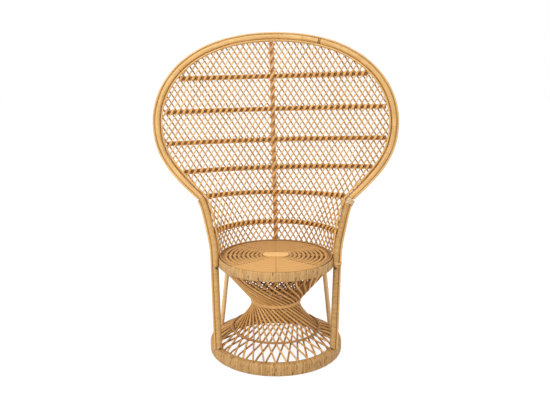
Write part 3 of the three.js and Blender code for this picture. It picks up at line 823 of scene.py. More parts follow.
def beside(path: Path, across: float, rearward: float) -> Path:
    """Shift a path outwards within the sheet and to the rear.

    Args:
        path: the path, going up on the right side.
        across: distance outwards.
        rearward: distance to the rear.

    Returns:
        The shifted path.
    """
    points = places(path)
    moved = []
    for i, stop in enumerate(path):
        side = stop.normal.cross(direction(points, i)).normalized()
        moved.append(Station(stop.point + side * across + stop.normal * rearward, stop.normal))
    return moved


def mirrored(path: Path) -> Path:
    """Copy a path to the other side of the chair."""
    return [Station(*on_side((stop.point, stop.normal), -1)) for stop in path]


def over_the_top(path: Path) -> Path:
    """Join a path that ends at the top with its other side, from left to right."""
    return mirrored(path) + path[-2::-1]


def above(path: Path, z: float) -> Path:
    """Keep the part of a path that lies above a height."""
    return [stop for stop in path if stop.point.z >= z]


def places(path: Path) -> list[Vector]:
    """List the points of a path."""
    return [stop.point for stop in path]


def ribbon(path: Path, width: float, number: int, depth: float, skin: int = 0) -> Strand:
    """Lay a strand along a path, pressed flat against the back.

    Args:
        path: the path.
        width: width across the path.
        number: number of the strand.
        depth: thickness from front to rear.
        skin: which of the piece's finishes it takes.

    Returns:
        The strand.
    """
    normals = [stop.normal for stop in path]
    return Strand(places(path), [width / 2] * len(path), number,
                  flat=normals, press=depth / width, skin=skin)


@dataclass
class PoleSkin:
    """Swells the section of a pole at its joints, or along the turns of its peel."""

    radius: float
    seed: int
    joint_gap: Plan = (0.06, 0.23)
    joint_swell: float = 0.0007
    joint_reach: float = 0.006
    between: float = 0.3  # share of the swelling by which the pole is slimmer between its joints
    turn_depth: float = 0.00035
    turn_uneven: float = 0.4
    wander: float = 0.0003
    wander_rates: Plan = (31.0, 11.7)

    def bare(self, points: list[Vector], number: int = 0) -> Strand:
        """Make the strand of a bare pole."""
        return Strand(points, self.jointed(run_lengths(points)), number)

    def jointed(self, lengths: Sequence[float]) -> list[float]:
        """Give the radius of a bare pole at each length.

        Args:
            lengths: lengths along the pole.

        Returns:
            One radius for each.
        """
        draw = random.Random(self.seed)
        joints, at = [], draw.uniform(*self.joint_gap)
        while at < lengths[-1]:
            joints.append(at)
            at += draw.uniform(*self.joint_gap)
        made = []
        for length in lengths:
            near = min((abs(length - joint) for joint in joints), default=1.0)
            swell = self.joint_swell * eased(near, self.joint_reach, 0.0)
            quick, slow = (length * rate for rate in self.wander_rates)
            drift = self.wander * math.sin(quick + self.seed) * math.sin(slow)
            made.append(self.radius + swell + drift - self.joint_swell * self.between)
        return made

    def wound(self, lengths: Sequence[float]) -> list[float]:
        """Give the radius of a pole wound with peel at each length.

        Args:
            lengths: lengths along the pole.

        Returns:
            One radius for each.
        """
        draw = random.Random(self.seed)
        turns = int(lengths[-1] / PEEL_TURN) + 2
        proud = [draw.uniform(-self.turn_uneven, self.turn_uneven) for _ in range(turns)]
        made = []
        for length in lengths:
            share = length / PEEL_TURN
            crown = math.sin(math.pi * (share % 1.0)) ** 0.5
            made.append(self.radius - self.turn_depth * (1 - crown) * (1 + proud[int(share)]))
        return made


@dataclass
class Rim:
    """The pole round the fan with the strip outside it and the two hoops inside it."""

    edge: BackEdge
    trim: float = 0.008
    lattice_cane: float = 0.0055
    hoop_foot: float = 0.400
    trim_foot: float = 0.435
    outer_groove: Plan = (0.0135, -0.0042)
    inner_groove: Plan = (-0.0131, -0.0062)
    step: float = 0.003

    def build(self) -> None:
        """Model and dress the rim."""
        edge = self.edge
        # thin dark strands in the grooves outside and inside the pole, painted as the shadow there
        lines = [over_the_top(beside(edge.fan(), *self.outer_groove)),
                 over_the_top(beside(edge.arm() + edge.fan()[1:], *self.inner_groove))]
        groove_shade = [spaced(places(above(line, self.trim_foot)), self.step * 2) for line in lines]
        strands = [Strand(points, [edge.groove / 2] * len(points), i) for i, points in enumerate(groove_shade)]
        dress(swept("rim_groove_painted_shadow", strands, THIN_CORNERS), [GROOVE_SHADOW_CANE], "rattan")
        pole = PoleSkin(edge.pole / 2, seed=11).bare(spaced(places(over_the_top(edge.fan())), self.step))
        dress(swept("rim_pole_bent", [pole], RIM_CORNERS), [POLE], "peel_wrap", "rim_pole")
        reach = (edge.pole + edge.strip) / 2 + edge.clearance
        outer = spaced(places(over_the_top(beside(edge.fan(), reach, 0.0))), self.step * 2)
        skip = round(edge.strip_setback / (self.step * 2))
        self._cane("rim_outer_cane", outer[skip:-skip], edge.strip, 3, "rim_outer_strip")
        hoop = edge.hoop_line()
        inner = spaced(places(over_the_top(above(hoop, self.hoop_foot))), self.step * 2)
        self._cane("edge_hoop_cane", inner, edge.hoop, 5, "edge_hoop")
        forward = edge.layer_reach + self.lattice_cane / 4 + 2 * edge.clearance + self.trim / 2
        trim = above(beside(hoop, 0.0, -forward), self.trim_foot)
        front = spaced(places(over_the_top(trim)), self.step * 2)
        self._cane("trim_hoop_cane", front, self.trim, 7, "trim_hoop")

    def _cane(self, name: str, points: list[Vector], width: float, seed: int, node: str) -> None:
        """Model one hoop of cane."""
        strand = PoleSkin(width / 2, seed, joint_swell=CANE_SWELL).bare(points, seed)
        dress(swept(name, [strand]), [HOOP_CANE], "rattan", node)


@dataclass
class Lattice:
    """The two layers of slanted canes, and the stays and spine between them."""

    edge: BackEdge
    pitch: float = 0.0275
    slope: float = 1.54
    cane: float = 0.0068
    cane_uneven: Plan = (0.94, 1.06)
    cane_ripple: Plan = (0.04, 0.5)  # share of the radius, and the angle from point to point
    touch_reach: float = 0.0035
    ease: float = 0.046
    hold: float = 0.004
    rail_z: float = 0.396
    groups: int = 5
    shortest: float = 0.03
    scan: float = 0.002
    step: float = 0.009
    stay_rises: tuple[float, ...] = (0.091, 0.239, 0.364, 0.501, 0.652, 0.811)
    stay_tilts: tuple[float, ...] = (0.0, 0.0, 0.028, 0.028, 0.028, 0.028)
    stay_height: float = 0.0215
    stay_edge: float = 0.0054
    stay_step: float = 0.0126
    stay_gap: float = 0.012
    core_depth: float = 0.00525
    twine: float = 0.0115
    twine_press: float = 0.45
    twine_rise: float = 0.0106
    twine_reach: float = 0.0136
    twine_steps: int = 12
    tie: float = 0.01035
    tie_reach: float = 0.013
    tie_clear: Plan = (0.039, 0.026)  # kept free at the spine's foot and top
    tie_steps: int = 4
    spine_width: float = 0.020
    spine_depth: float = 0.006
    spine_lean: float = 0.023
    spine_canes: int = 3
    rail: float = 0.0075
    per_stay: int = 10  # numbers kept for the strands of a stay
    spine_number: int = 70
    rail_number: int = 80
    tie_number: int = 100
    table: list[Plan] = field(default_factory=list)

    def __post_init__(self) -> None:
        """Read the girth of the hoop at each height."""
        line = self.edge.hoop_line()
        self.table = [(stop.point.z, self.edge.sheet.girth_of(stop.point)) for stop in line]

    def edge_girth(self, z: float) -> float:
        """Find the girth of the hoop at a height.

        Args:
            z: the height.

        Returns:
            The girth, 0 above the hoop.
        """
        if z >= self.table[-1][0]:
            return 0.0
        for (low, first), (high, second) in zip(self.table, self.table[1:]):
            if low <= z < high:
                return first + (second - first) * (z - low) / (high - low)
        return self.table[0][1]

    def stay_z(self, i: int, girth: float) -> float:
        """Find the height of a stay at a girth."""
        seat_top = self.edge.sheet.seat_top
        rise = self.stay_rises[i] * (self.edge.crown[1] - seat_top)
        return seat_top + rise + self.stay_tilts[i] * girth

    def build(self) -> None:
        """Model and dress the canes, the stays, the spine and the rail."""
        # the rear layer takes the darker cane, painted as shade behind the front layer
        for layer, slant, facing, finish in (("front", 1, -1, FRONT_CANE), ("rear", -1, 1, SHADED_REAR_CANE)):
            lines = self._lines(slant)
            share = math.ceil(len(lines) / self.groups)
            for group in range(self.groups):
                first = group * share
                run = lines[first:first + share]
                strands = [self._cane(line, facing, first + i) for i, line in enumerate(run)]
                piece = swept(f"{layer}_lattice_canes_{group + 1}", strands, THIN_CORNERS)
                dress(piece, [finish], "rattan", f"back_{layer}_canes_{group + 1}")
        for i in range(len(self.stay_rises)):
            self._stay(i)
        self._spine()
        self._rail()

    def _lines(self, slant: int) -> list[list[Plan]]:
        """Find every slanted line inside the hoop.

        Args:
            slant: 1 where a line rises to the right, -1 to the left.

        Returns:
            Girths and heights along each line.
        """
        middle_z = self.edge.widest[1]
        reach = self.edge.widest[0] + (self.table[-1][0] - self.rail_z) / self.slope
        count = math.ceil(reach / self.pitch)
        lines = []
        for i in range(-count, count + 1):
            run: list[Plan] = []
            best: list[Plan] = []
            z = self.rail_z
            while z < self.table[-1][0]:
                girth = (i + 0.5) * self.pitch + slant * (z - middle_z) / self.slope
                if abs(girth) < self.edge_girth(z):
                    run.append((girth, z))
                else:
                    best, run = max(best, run, key=len), []
                z += self.scan
            best = max(best, run, key=len)
            if len(best) * self.scan > self.shortest:
                lines.append(best)
        return lines

    def _cane(self, line: list[Plan], facing: int, number: int) -> Strand:
        """Lay one cane over the stays and the hoop, drawn in between them.

        Args:
            line: girths and heights along it.
            facing: -1 in front of the stays, 1 behind them.
            number: the cane's number in its layer.

        Returns:
            The strand.
        """
        draw = random.Random(number * 7 + facing)
        stays = range(len(self.stay_rises))
        lean = math.hypot(1, 1 / self.slope)
        points = []
        low, high = line[0][1], line[-1][1]
        count = max(3, round((high - low) * lean / self.step))
        for i in range(count + 1):
            z = low + (high - low) * i / count
            girth = line[0][0] + (line[-1][0] - line[0][0]) * i / count
            near = min(abs(z - self.stay_z(k, girth)) for k in stays)
            near = min(near, z - low, high - z) * lean
            spread = self.edge.layer_reach - self.touch_reach
            reach = self.touch_reach + spread * eased(near, self.ease, self.hold)
            points.append(self.edge.sheet.station(girth, z, facing * reach).point)
        radius = self.cane / 2 * draw.uniform(*self.cane_uneven)
        phase = draw.uniform(0, TAU)
        ripple, turn = self.cane_ripple
        radii = [radius * (1 + ripple * math.sin(phase + turn * i)) for i in range(len(points))]
        return Strand(points, radii, number)

    def _stay_end(self, i: int, side: int) -> float:
        """Find the girth at which a stay meets the hoop."""
        girth = 0.0
        while abs(girth) + self.stay_gap < self.edge_girth(self.stay_z(i, girth)):
            girth += side * self.scan
        return girth

    def _stay(self, i: int) -> None:
        """Model a stay: a dark flat core between two canes, its brown deepened as painted shade between
        them, with a strand twined round it.
        """
        left, right = self._stay_end(i, -1), self._stay_end(i, 1)
        count = round((right - left) / self.stay_step)
        girths = [left + (right - left) * k / count for k in range(count + 1)]
        edge, width = self.stay_edge, self.stay_height - self.stay_edge
        strands = []
        for number, lift, across, depth in ((0, 0.0, width, self.core_depth), (1, width / 2, edge, edge),
                                            (2, -width / 2, edge, edge)):
            path = [self.edge.sheet.station(g, self.stay_z(i, g) + lift) for g in girths]
            strands.append(ribbon(path, across, self.per_stay * i + number, depth, min(number, 1)))
        strands.append(self._twine(i, left, right))
        finishes = [SHADED_STAY_CORE, STAY_EDGE, STAY_TWINE]
        dress(swept(f"stay_bundle_{i + 1}", strands), finishes, "dark_rattan", f"stay_{i + 1}")

    def _twine(self, i: int, left: float, right: float) -> Strand:
        """Wind a flat strand round a stay so that it lies over each front cane.

        Args:
            i: the stay's number from the bottom.
            left: girth of its left end.
            right: girth of its right end.

        Returns:
            The strand.
        """
        squeeze = 1 - self.stay_tilts[i] / self.slope
        first = (self.pitch / 2 + (self.stay_z(i, 0.0) - self.edge.widest[1]) / self.slope) / squeeze
        turn = self.pitch / squeeze
        low = math.ceil((left - first) / turn * self.twine_steps)
        high = math.floor((right - first) / turn * self.twine_steps)
        points, flat = [], []
        for k in range(low, high + 1):
            girth = first + turn * k / self.twine_steps
            phase = TAU * k / self.twine_steps
            z = self.stay_z(i, girth)
            lift, out = self.twine_rise * math.sin(phase), -self.twine_reach * math.cos(phase)
            points.append(self.edge.sheet.station(girth, z + lift, out).point)
            flat.append((points[-1] - self.edge.sheet.point(girth, z)).normalized())
        return Strand(points, [self.twine / 2] * len(points), self.per_stay * i + 3,
                      flat=flat, press=self.twine_press, skin=2)

    def _spine_girth(self, z: float) -> float:
        """Find the girth of the leaning spine's middle at a height."""
        return -self.spine_lean * (z - self.edge.sheet.seat_top)

    def _spine(self) -> None:
        """Model the spine as flat canes side by side, with a tie over each front cane."""
        low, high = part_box("spine")[0].z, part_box("spine")[1].z
        count = round((high - low) / self.stay_step)
        width = self.spine_width / self.spine_canes
        strands = []
        for k in range(self.spine_canes):
            aside = (k - (self.spine_canes - 1) / 2) * width
            path = []
            for i in range(count + 1):
                z = low + (high - low) * i / count
                path.append(self.edge.sheet.station(aside + self._spine_girth(z), z))
            strands.append(ribbon(path, width, self.spine_number + k, self.spine_depth))
        strands += self._ties(low, high)
        dress(swept("spine_canes", strands), [SPINE_CANE, STAY_TWINE], "dark_rattan", "spine")

    def _ties(self, low: float, high: float) -> list[Strand]:
        """Lay a short flat strip over each front cane where it crosses the spine.

        Args:
            low: height of the spine's foot.
            high: height of its top.

        Returns:
            The strips.
        """
        ties = []
        reach = math.ceil((high - low) / self.slope / self.pitch)
        start = self.spine_lean * self.edge.sheet.seat_top + self.edge.widest[1] / self.slope
        for k in range(-reach, reach):
            z = (start - (k + 0.5) * self.pitch) / (1 / self.slope + self.spine_lean)
            if not low + self.tie_clear[0] < z < high - self.tie_clear[1]:
                continue
            middle = self._spine_girth(z)
            path = []
            for step in range(-self.tie_steps, self.tie_steps + 1):
                share = step / self.tie_steps
                out = -self.twine_reach * (1 - share ** 4)
                aside = self.tie_reach * share
                path.append(self.edge.sheet.station(middle + aside, z + aside * self.slope, out))
            ties.append(ribbon(path, self.tie, self.tie_number + k, self.tie * self.twine_press, 1))
        return ties

    def _rail(self) -> None:
        """Model the rail under the edge of the seat that the lowest cane ends are tied to."""
        reach = self.edge.foot[0] - self.edge.pole / 2 - self.edge.clearance
        count = round(2 * reach / self.step)
        girths = [-reach + 2 * reach * i / count for i in range(count + 1)]
        path = [self.edge.sheet.station(girth, self.rail_z) for girth in girths]
        strand = Strand(places(path), [self.rail / 2] * len(path), self.rail_number)
        dress(swept("bottom_rail_cane", [strand]), [STAY_EDGE], "dark_rattan", "bottom_rail")


@dataclass
class Legs:
    """The wound front legs that run up as arms, their outer strips, and the rear legs."""

    edge: BackEdge
    base_height: float = 0.053
    foot_radius: float = 0.2775
    foot_angle: float = math.radians(-30)
    groove_at: Plan = (0.0135, 0.0042)
    rear_leg: float = 0.021
    rear_angle: float = math.radians(25)
    rear_top: Plan = (0.235, 0.3837)
    rear_joint_gap: Plan = (0.08, 0.15)
    wound_step: float = 0.0013
    step: float = 0.006
    bend_passes: int = 6
    wound_number: int = 21
    rear_number: int = 31
    strip_number: int = 41

    def line(self) -> list[Vector]:
        """Follow a front leg and arm on the right, from the base ring to the shoulder."""
        foot = polar(self.edge.sheet.centre, self.foot_radius, self.foot_angle, self.base_height)
        return softened(spaced([foot] + places(self.edge.arm()), self.step), self.bend_passes)

    def build(self) -> None:
        """Model and dress the legs."""
        right = self.line()
        ends = ((self.foot_radius, self.base_height), self.rear_top)
        rear = [polar(self.edge.sheet.centre, radius, self.rear_angle, z) for radius, z in ends]
        for side, sign in (("right", 1), ("left", -1)):
            line = on_side(right, sign)
            self._wound_leg(side, spaced(line, self.wound_step), sign)
            self._strip(side, line, sign)
            number = self.rear_number + sign
            skin = PoleSkin(self.rear_leg / 2, number, joint_gap=self.rear_joint_gap)
            strand = skin.bare(spaced(on_side(rear, sign), self.step / 2), number)
            piece = swept(f"rear_pole_{side}", [strand], LEG_CORNERS)
            dress(piece, [REAR_LEG_SKIN], "rattan", f"rear_leg_{side}")

    def _wound_leg(self, side: str, points: list[Vector], sign: int) -> None:
        """Model one front leg and arm with the turns of its peel."""
        number = self.wound_number + sign
        strand = Strand(points, PoleSkin(self.edge.pole / 2, number).wound(run_lengths(points)), number)
        finish = WOUND_PEEL if sign > 0 else SMOOTH_PEEL
        piece = swept(f"wound_leg_{side}", [strand], LEG_CORNERS)
        dress(piece, [finish], "peel_wrap", f"front_leg_{side}")

    def _strip(self, side: str, line: list[Vector], sign: int) -> None:
        """Model the cane along the outside of one leg and arm, and a thin dark strand in the groove beside
        it, painted as the shadow there.
        """
        edge = self.edge
        reach = (edge.pole + edge.strip) / 2 + edge.clearance
        moved, shade_points = [], []
        for i, point in enumerate(line[:-round(edge.strip_setback / self.step)]):
            out, front = self.sides(line, i, sign)
            moved.append(point + out * reach)
            shade_points.append(point + out * self.groove_at[0] + front * self.groove_at[1])
        number = self.strip_number + sign
        strand = PoleSkin(edge.strip / 2, number, joint_swell=CANE_SWELL).bare(moved, number)
        groove_shade = Strand(shade_points, [edge.groove / 2] * len(shade_points), skin=1)
        piece = swept(f"leg_outer_cane_{side}", [strand, groove_shade])
        dress(piece, [HOOP_CANE, GROOVE_SHADOW_CANE], "rattan", f"leg_strip_{side}")

    def sides(self, line: list[Vector], i: int, sign: int) -> tuple[Vector, Vector]:
        """Find the outward and forward directions across a leg at one of its points.

        Args:
            line: the leg's line.
            i: which point.
            sign: 1 on the right, -1 on the left.

        Returns:
            The two directions.
        """
        along = direction(line, i)
        outward = Vector((sign, 0.0, 0.0))
        outward = (outward - along * outward.dot(along)).normalized()
        return outward, outward.cross(along) * sign


@dataclass
class Joinery:
    """Windings of peel, and dark wedges painted as the shade in the notches where the poles are joined."""

    legs: Legs
    peel: float = 0.0046
    press: float = 0.3
    steps: int = 16
    around: Plan = (0.0186, 0.0140)
    aside: float = 0.0045
    seat_z: float = 0.398
    seat_turns: int = 2
    seat_pitch: float = 0.0050
    shoulder_back: float = 0.030
    shoulder_turns: int = 5
    shoulder_pitch: float = 0.0062
    notch_length: float = 0.010
    notch_proud: float = 0.0012
    notch_inward: float = 0.004
    notch_bevel: float = 0.001
    notches: tuple[Plan, ...] = ((0.0052, 0.0585), (0.0085, 0.388))  # radius and height
    mark_x: float = 0.2
    mark_shifts: Plan = (-0.0035, 0.0035)
    mark_width: float = 0.0032
    mark_proud: float = 0.0004

    def build(self) -> None:
        """Model and dress the windings, on the right alone, and the dark wedges painted as the shade of the
        notches.
        """
        right = self.legs.line()
        for side, sign in (("right", 1), ("left", -1)):
            line = on_side(right, sign)
            for k, (radius, height) in enumerate(self.notches):
                at = next(point for point in line if point.z > height)
                self._notch(f"leg_notch_{side}_{k + 1}", at, radius, sign)
        seat = next(i for i, point in enumerate(right) if point.z > self.seat_z) * self.legs.step
        shoulder = run_lengths(right)[-1] - self.shoulder_back
        runs = [(seat, self.seat_turns, self.seat_pitch),
                (shoulder, self.shoulder_turns, self.shoulder_pitch)]
        strands = [self._winding(right, run, k) for k, run in enumerate(runs)]
        dress(swept("leg_lashing_right", strands), [BINDING_PEEL, LASHING_PEEL], "peel_wrap")
        self._rim_mark()

    def _winding(self, line: list[Vector], run: tuple[float, int, float], number: int) -> Strand:
        """Wind peel round the right leg and its outer cane.

        Args:
            line: the leg's line.
            run: length at which it starts, number of turns and their pitch.
            number: number of the strand and of its finish.

        Returns:
            The strand.
        """
        start, turns, pitch = run
        points, flat = [], []
        for k in range(turns * self.steps + 1):
            reach = (start + pitch * k / self.steps) / self.legs.step
            i = min(int(reach), len(line) - 2)
            out, front = self.legs.sides(line, i, 1)
            phase = TAU * k / self.steps
            ray = out * (self.around[0] * math.cos(phase)) + front * (self.around[1] * math.sin(phase))
            points.append(line[i].lerp(line[i + 1], reach - i) + out * self.aside + ray)
            flat.append(ray.normalized())
        return Strand(points, [self.peel / 2] * len(points), number,
                      flat=flat, press=self.press, skin=number)

    def _notch(self, name: str, at: Vector, radius: float, sign: int) -> None:
        """Model a dark three-cornered wedge on a leg's front, painted as the shade in a notch.

        Args:
            name: name of the piece.
            at: place on the leg's line.
            radius: distance of its corners from its middle.
            sign: 1 on the right, -1 on the left.
        """
        bpy.ops.object.select_all(action="DESELECT")
        front = self.legs.edge.pole / 2 + self.notch_proud - self.notch_length / 2
        middle = at - Vector((sign * self.notch_inward, front, 0.0))
        bpy.ops.mesh.primitive_cylinder_add(vertices=3, radius=radius, depth=self.notch_length,
                                            location=middle, rotation=(TAU / 4, sign * TAU / 4, 0.0))
        piece = added(name)
        bpy.ops.object.transform_apply(location=True, rotation=True, scale=True)
        with editing():
            bpy.ops.mesh.bevel(offset=self.notch_bevel, segments=2, affect="EDGES")
        dress(closed_up(piece), [DARK_TURNS_AND_NOTCH_SHADE], "dark_rattan")

    def _rim_mark(self) -> None:
        """Model the two dark turns near the top of the rim."""
        edge = self.legs.edge
        path = above(edge.fan(), edge.widest[1])
        middle = min(range(len(path)), key=lambda i: abs(path[i].point.x - self.mark_x))
        stop = path[middle]
        along = direction(places(path), middle)
        side = stop.normal.cross(along).normalized()
        loops = []
        for k, shift in enumerate(self.mark_shifts):
            ring = []
            for step in range(self.steps):
                angle = TAU * step / self.steps
                ray = side * math.cos(angle) + stop.normal * math.sin(angle)
                ring.append(stop.point + along * shift + ray * (edge.pole / 2 + self.mark_proud))
            loops.append(Strand(ring, [self.mark_width / 2] * self.steps, k, closed=True))
        dress(swept("rim_mark", loops, THIN_CORNERS), [DARK_TURNS_AND_NOTCH_SHADE], "dark_rattan")


# Seat, pedestal and base


@dataclass
class WrappedRing:
    """A ring of poles wrapped all round in strips of peel."""

    name: str
    node: str
    finish: Rattan
    centre: Vector
    outer: float
    width: float
    low: float
    high: float
    corner: float
    seed: int
    ragged: float = 0.0
    strip: float = 0.0047
    groove: float = 0.0006
    proud: float = 0.0004
    wander: float = 0.28
    lean: float = 0.5
    lean_from: float = 0.25  # share of the section at which a strip isn't moved
    bend_steps: int = 3
    columns_per_strip: int = 3

    def profile(self) -> list[Plan]:
        """Draw the rounded section, outer side going up.

        Returns:
            Radius and height of each point, the first one again at the end.
        """
        inner = self.outer - self.width
        c = self.corner
        centres = ((self.outer - c, self.low + c), (self.outer - c, self.high - c),
                   (inner + c, self.high - c), (inner + c, self.low + c))
        points = []
        for quarter, (r, z) in enumerate(centres):
            for k in range(self.bend_steps + 1):
                angle = (quarter - 1 + k / self.bend_steps) * TAU / 4
                points.append((r + c * math.cos(angle), z + c * math.sin(angle)))
        return points + points[:1]

    def build(self) -> None:
        """Model and dress the ring."""
        strips = round(TAU * self.outer / self.strip)
        columns = strips * self.columns_per_strip
        profile = self.profile()
        piece = turned(self.name, profile, columns, self.centre)
        lengths = run_lengths([Vector((r, 0.0, z)) for r, z in profile])
        spots = {(round(r, 5), round(z, 5)): i for i, (r, z) in reversed(list(enumerate(profile)))}
        mesh = piece.data
        found = []
        for vertex in mesh.vertices:
            away = vertex.co - self.centre
            radius = math.hypot(away.x, away.y)
            key = min(spots, key=lambda spot: abs(spot[0] - radius) + abs(spot[1] - away.z))
            column = round(math.atan2(away.y, away.x) / TAU * columns) % columns
            found.append((column, spots[key]))
        self._map(mesh, found, columns, len(profile) - 1, lengths)
        self._press(mesh, found, strips, profile, lengths)
        select_only(piece)
        bpy.ops.object.shade_smooth_by_angle(angle=SMOOTH_ANGLE)
        dress(piece, [self.finish], "peel_wrap", self.node)

    def _map(self, mesh: bpy.types.Mesh, found: list[tuple[int, int]], columns: int, rows: int,
             lengths: list[float]) -> None:
        """Lay the map along the strips.

        Args:
            mesh: the ring's mesh.
            found: column and row of each vertex.
            columns: columns round the ring.
            rows: rows round the section.
            lengths: length along the section at each row.
        """
        layer = chart(mesh)
        per = self.columns_per_strip
        for face in mesh.polygons:
            spots = [found[v] for v in face.vertices]
            wide = max(c for c, _ in spots) - min(c for c, _ in spots) > columns / 2
            tall = max(r for _, r in spots) - min(r for _, r in spots) > rows / 2
            first = min(c + columns * (wide and c == 0) for c, _ in spots) // per
            for loop, (column, row) in zip(face.loop_indices, spots):
                column += columns * (wide and column == 0)
                row += rows * (tall and row == 0)
                layer.data[loop].uv = (lengths[row], lane(first, column / per - first))

    def _press(self, mesh: bpy.types.Mesh, found: list[tuple[int, int]], strips: int, profile: list[Plan],
               lengths: list[float]) -> None:
        """Sink the seams between strips, with uneven widths and heights.

        Args:
            mesh: the ring's mesh.
            found: column and row of each vertex.
            strips: strips round the ring.
            profile: the section.
            lengths: length along the section at each row.
        """
        draw = random.Random(self.seed)
        shift = [draw.uniform(-self.wander, self.wander) for _ in range(strips)]
        rise = [draw.uniform(-1.0, 1.0) * self.proud for _ in range(strips)]
        droop = [draw.uniform(0.0, 1.0) * self.ragged for _ in range(strips)]
        per = self.columns_per_strip
        rows = len(profile) - 1
        for vertex, (column, row) in zip(mesh.vertices, found):
            strip, part = divmod(column, per)
            near, far = profile[(row - 1) % rows], profile[(row + 1) % rows]
            along = Vector((far[0] - near[0], far[1] - near[1])).normalized()
            normal = Vector((along.y, -along.x))
            sink = self.groove if part == 0 else -rise[strip]
            slip = shift[strip] if part == 0 else (shift[strip] + shift[(strip + 1) % strips]) / 2
            slip += self.lean * (lengths[row] / lengths[-1] - self.lean_from)
            angle = ((column / per + slip) / strips) * TAU
            radius = profile[row][0] - normal.x * sink
            z = profile[row][1] - normal.y * sink
            if profile[row][1] < self.low + self.corner:
                z += droop[strip]
            vertex.co = polar(self.centre, radius, angle, max(z, self.low))


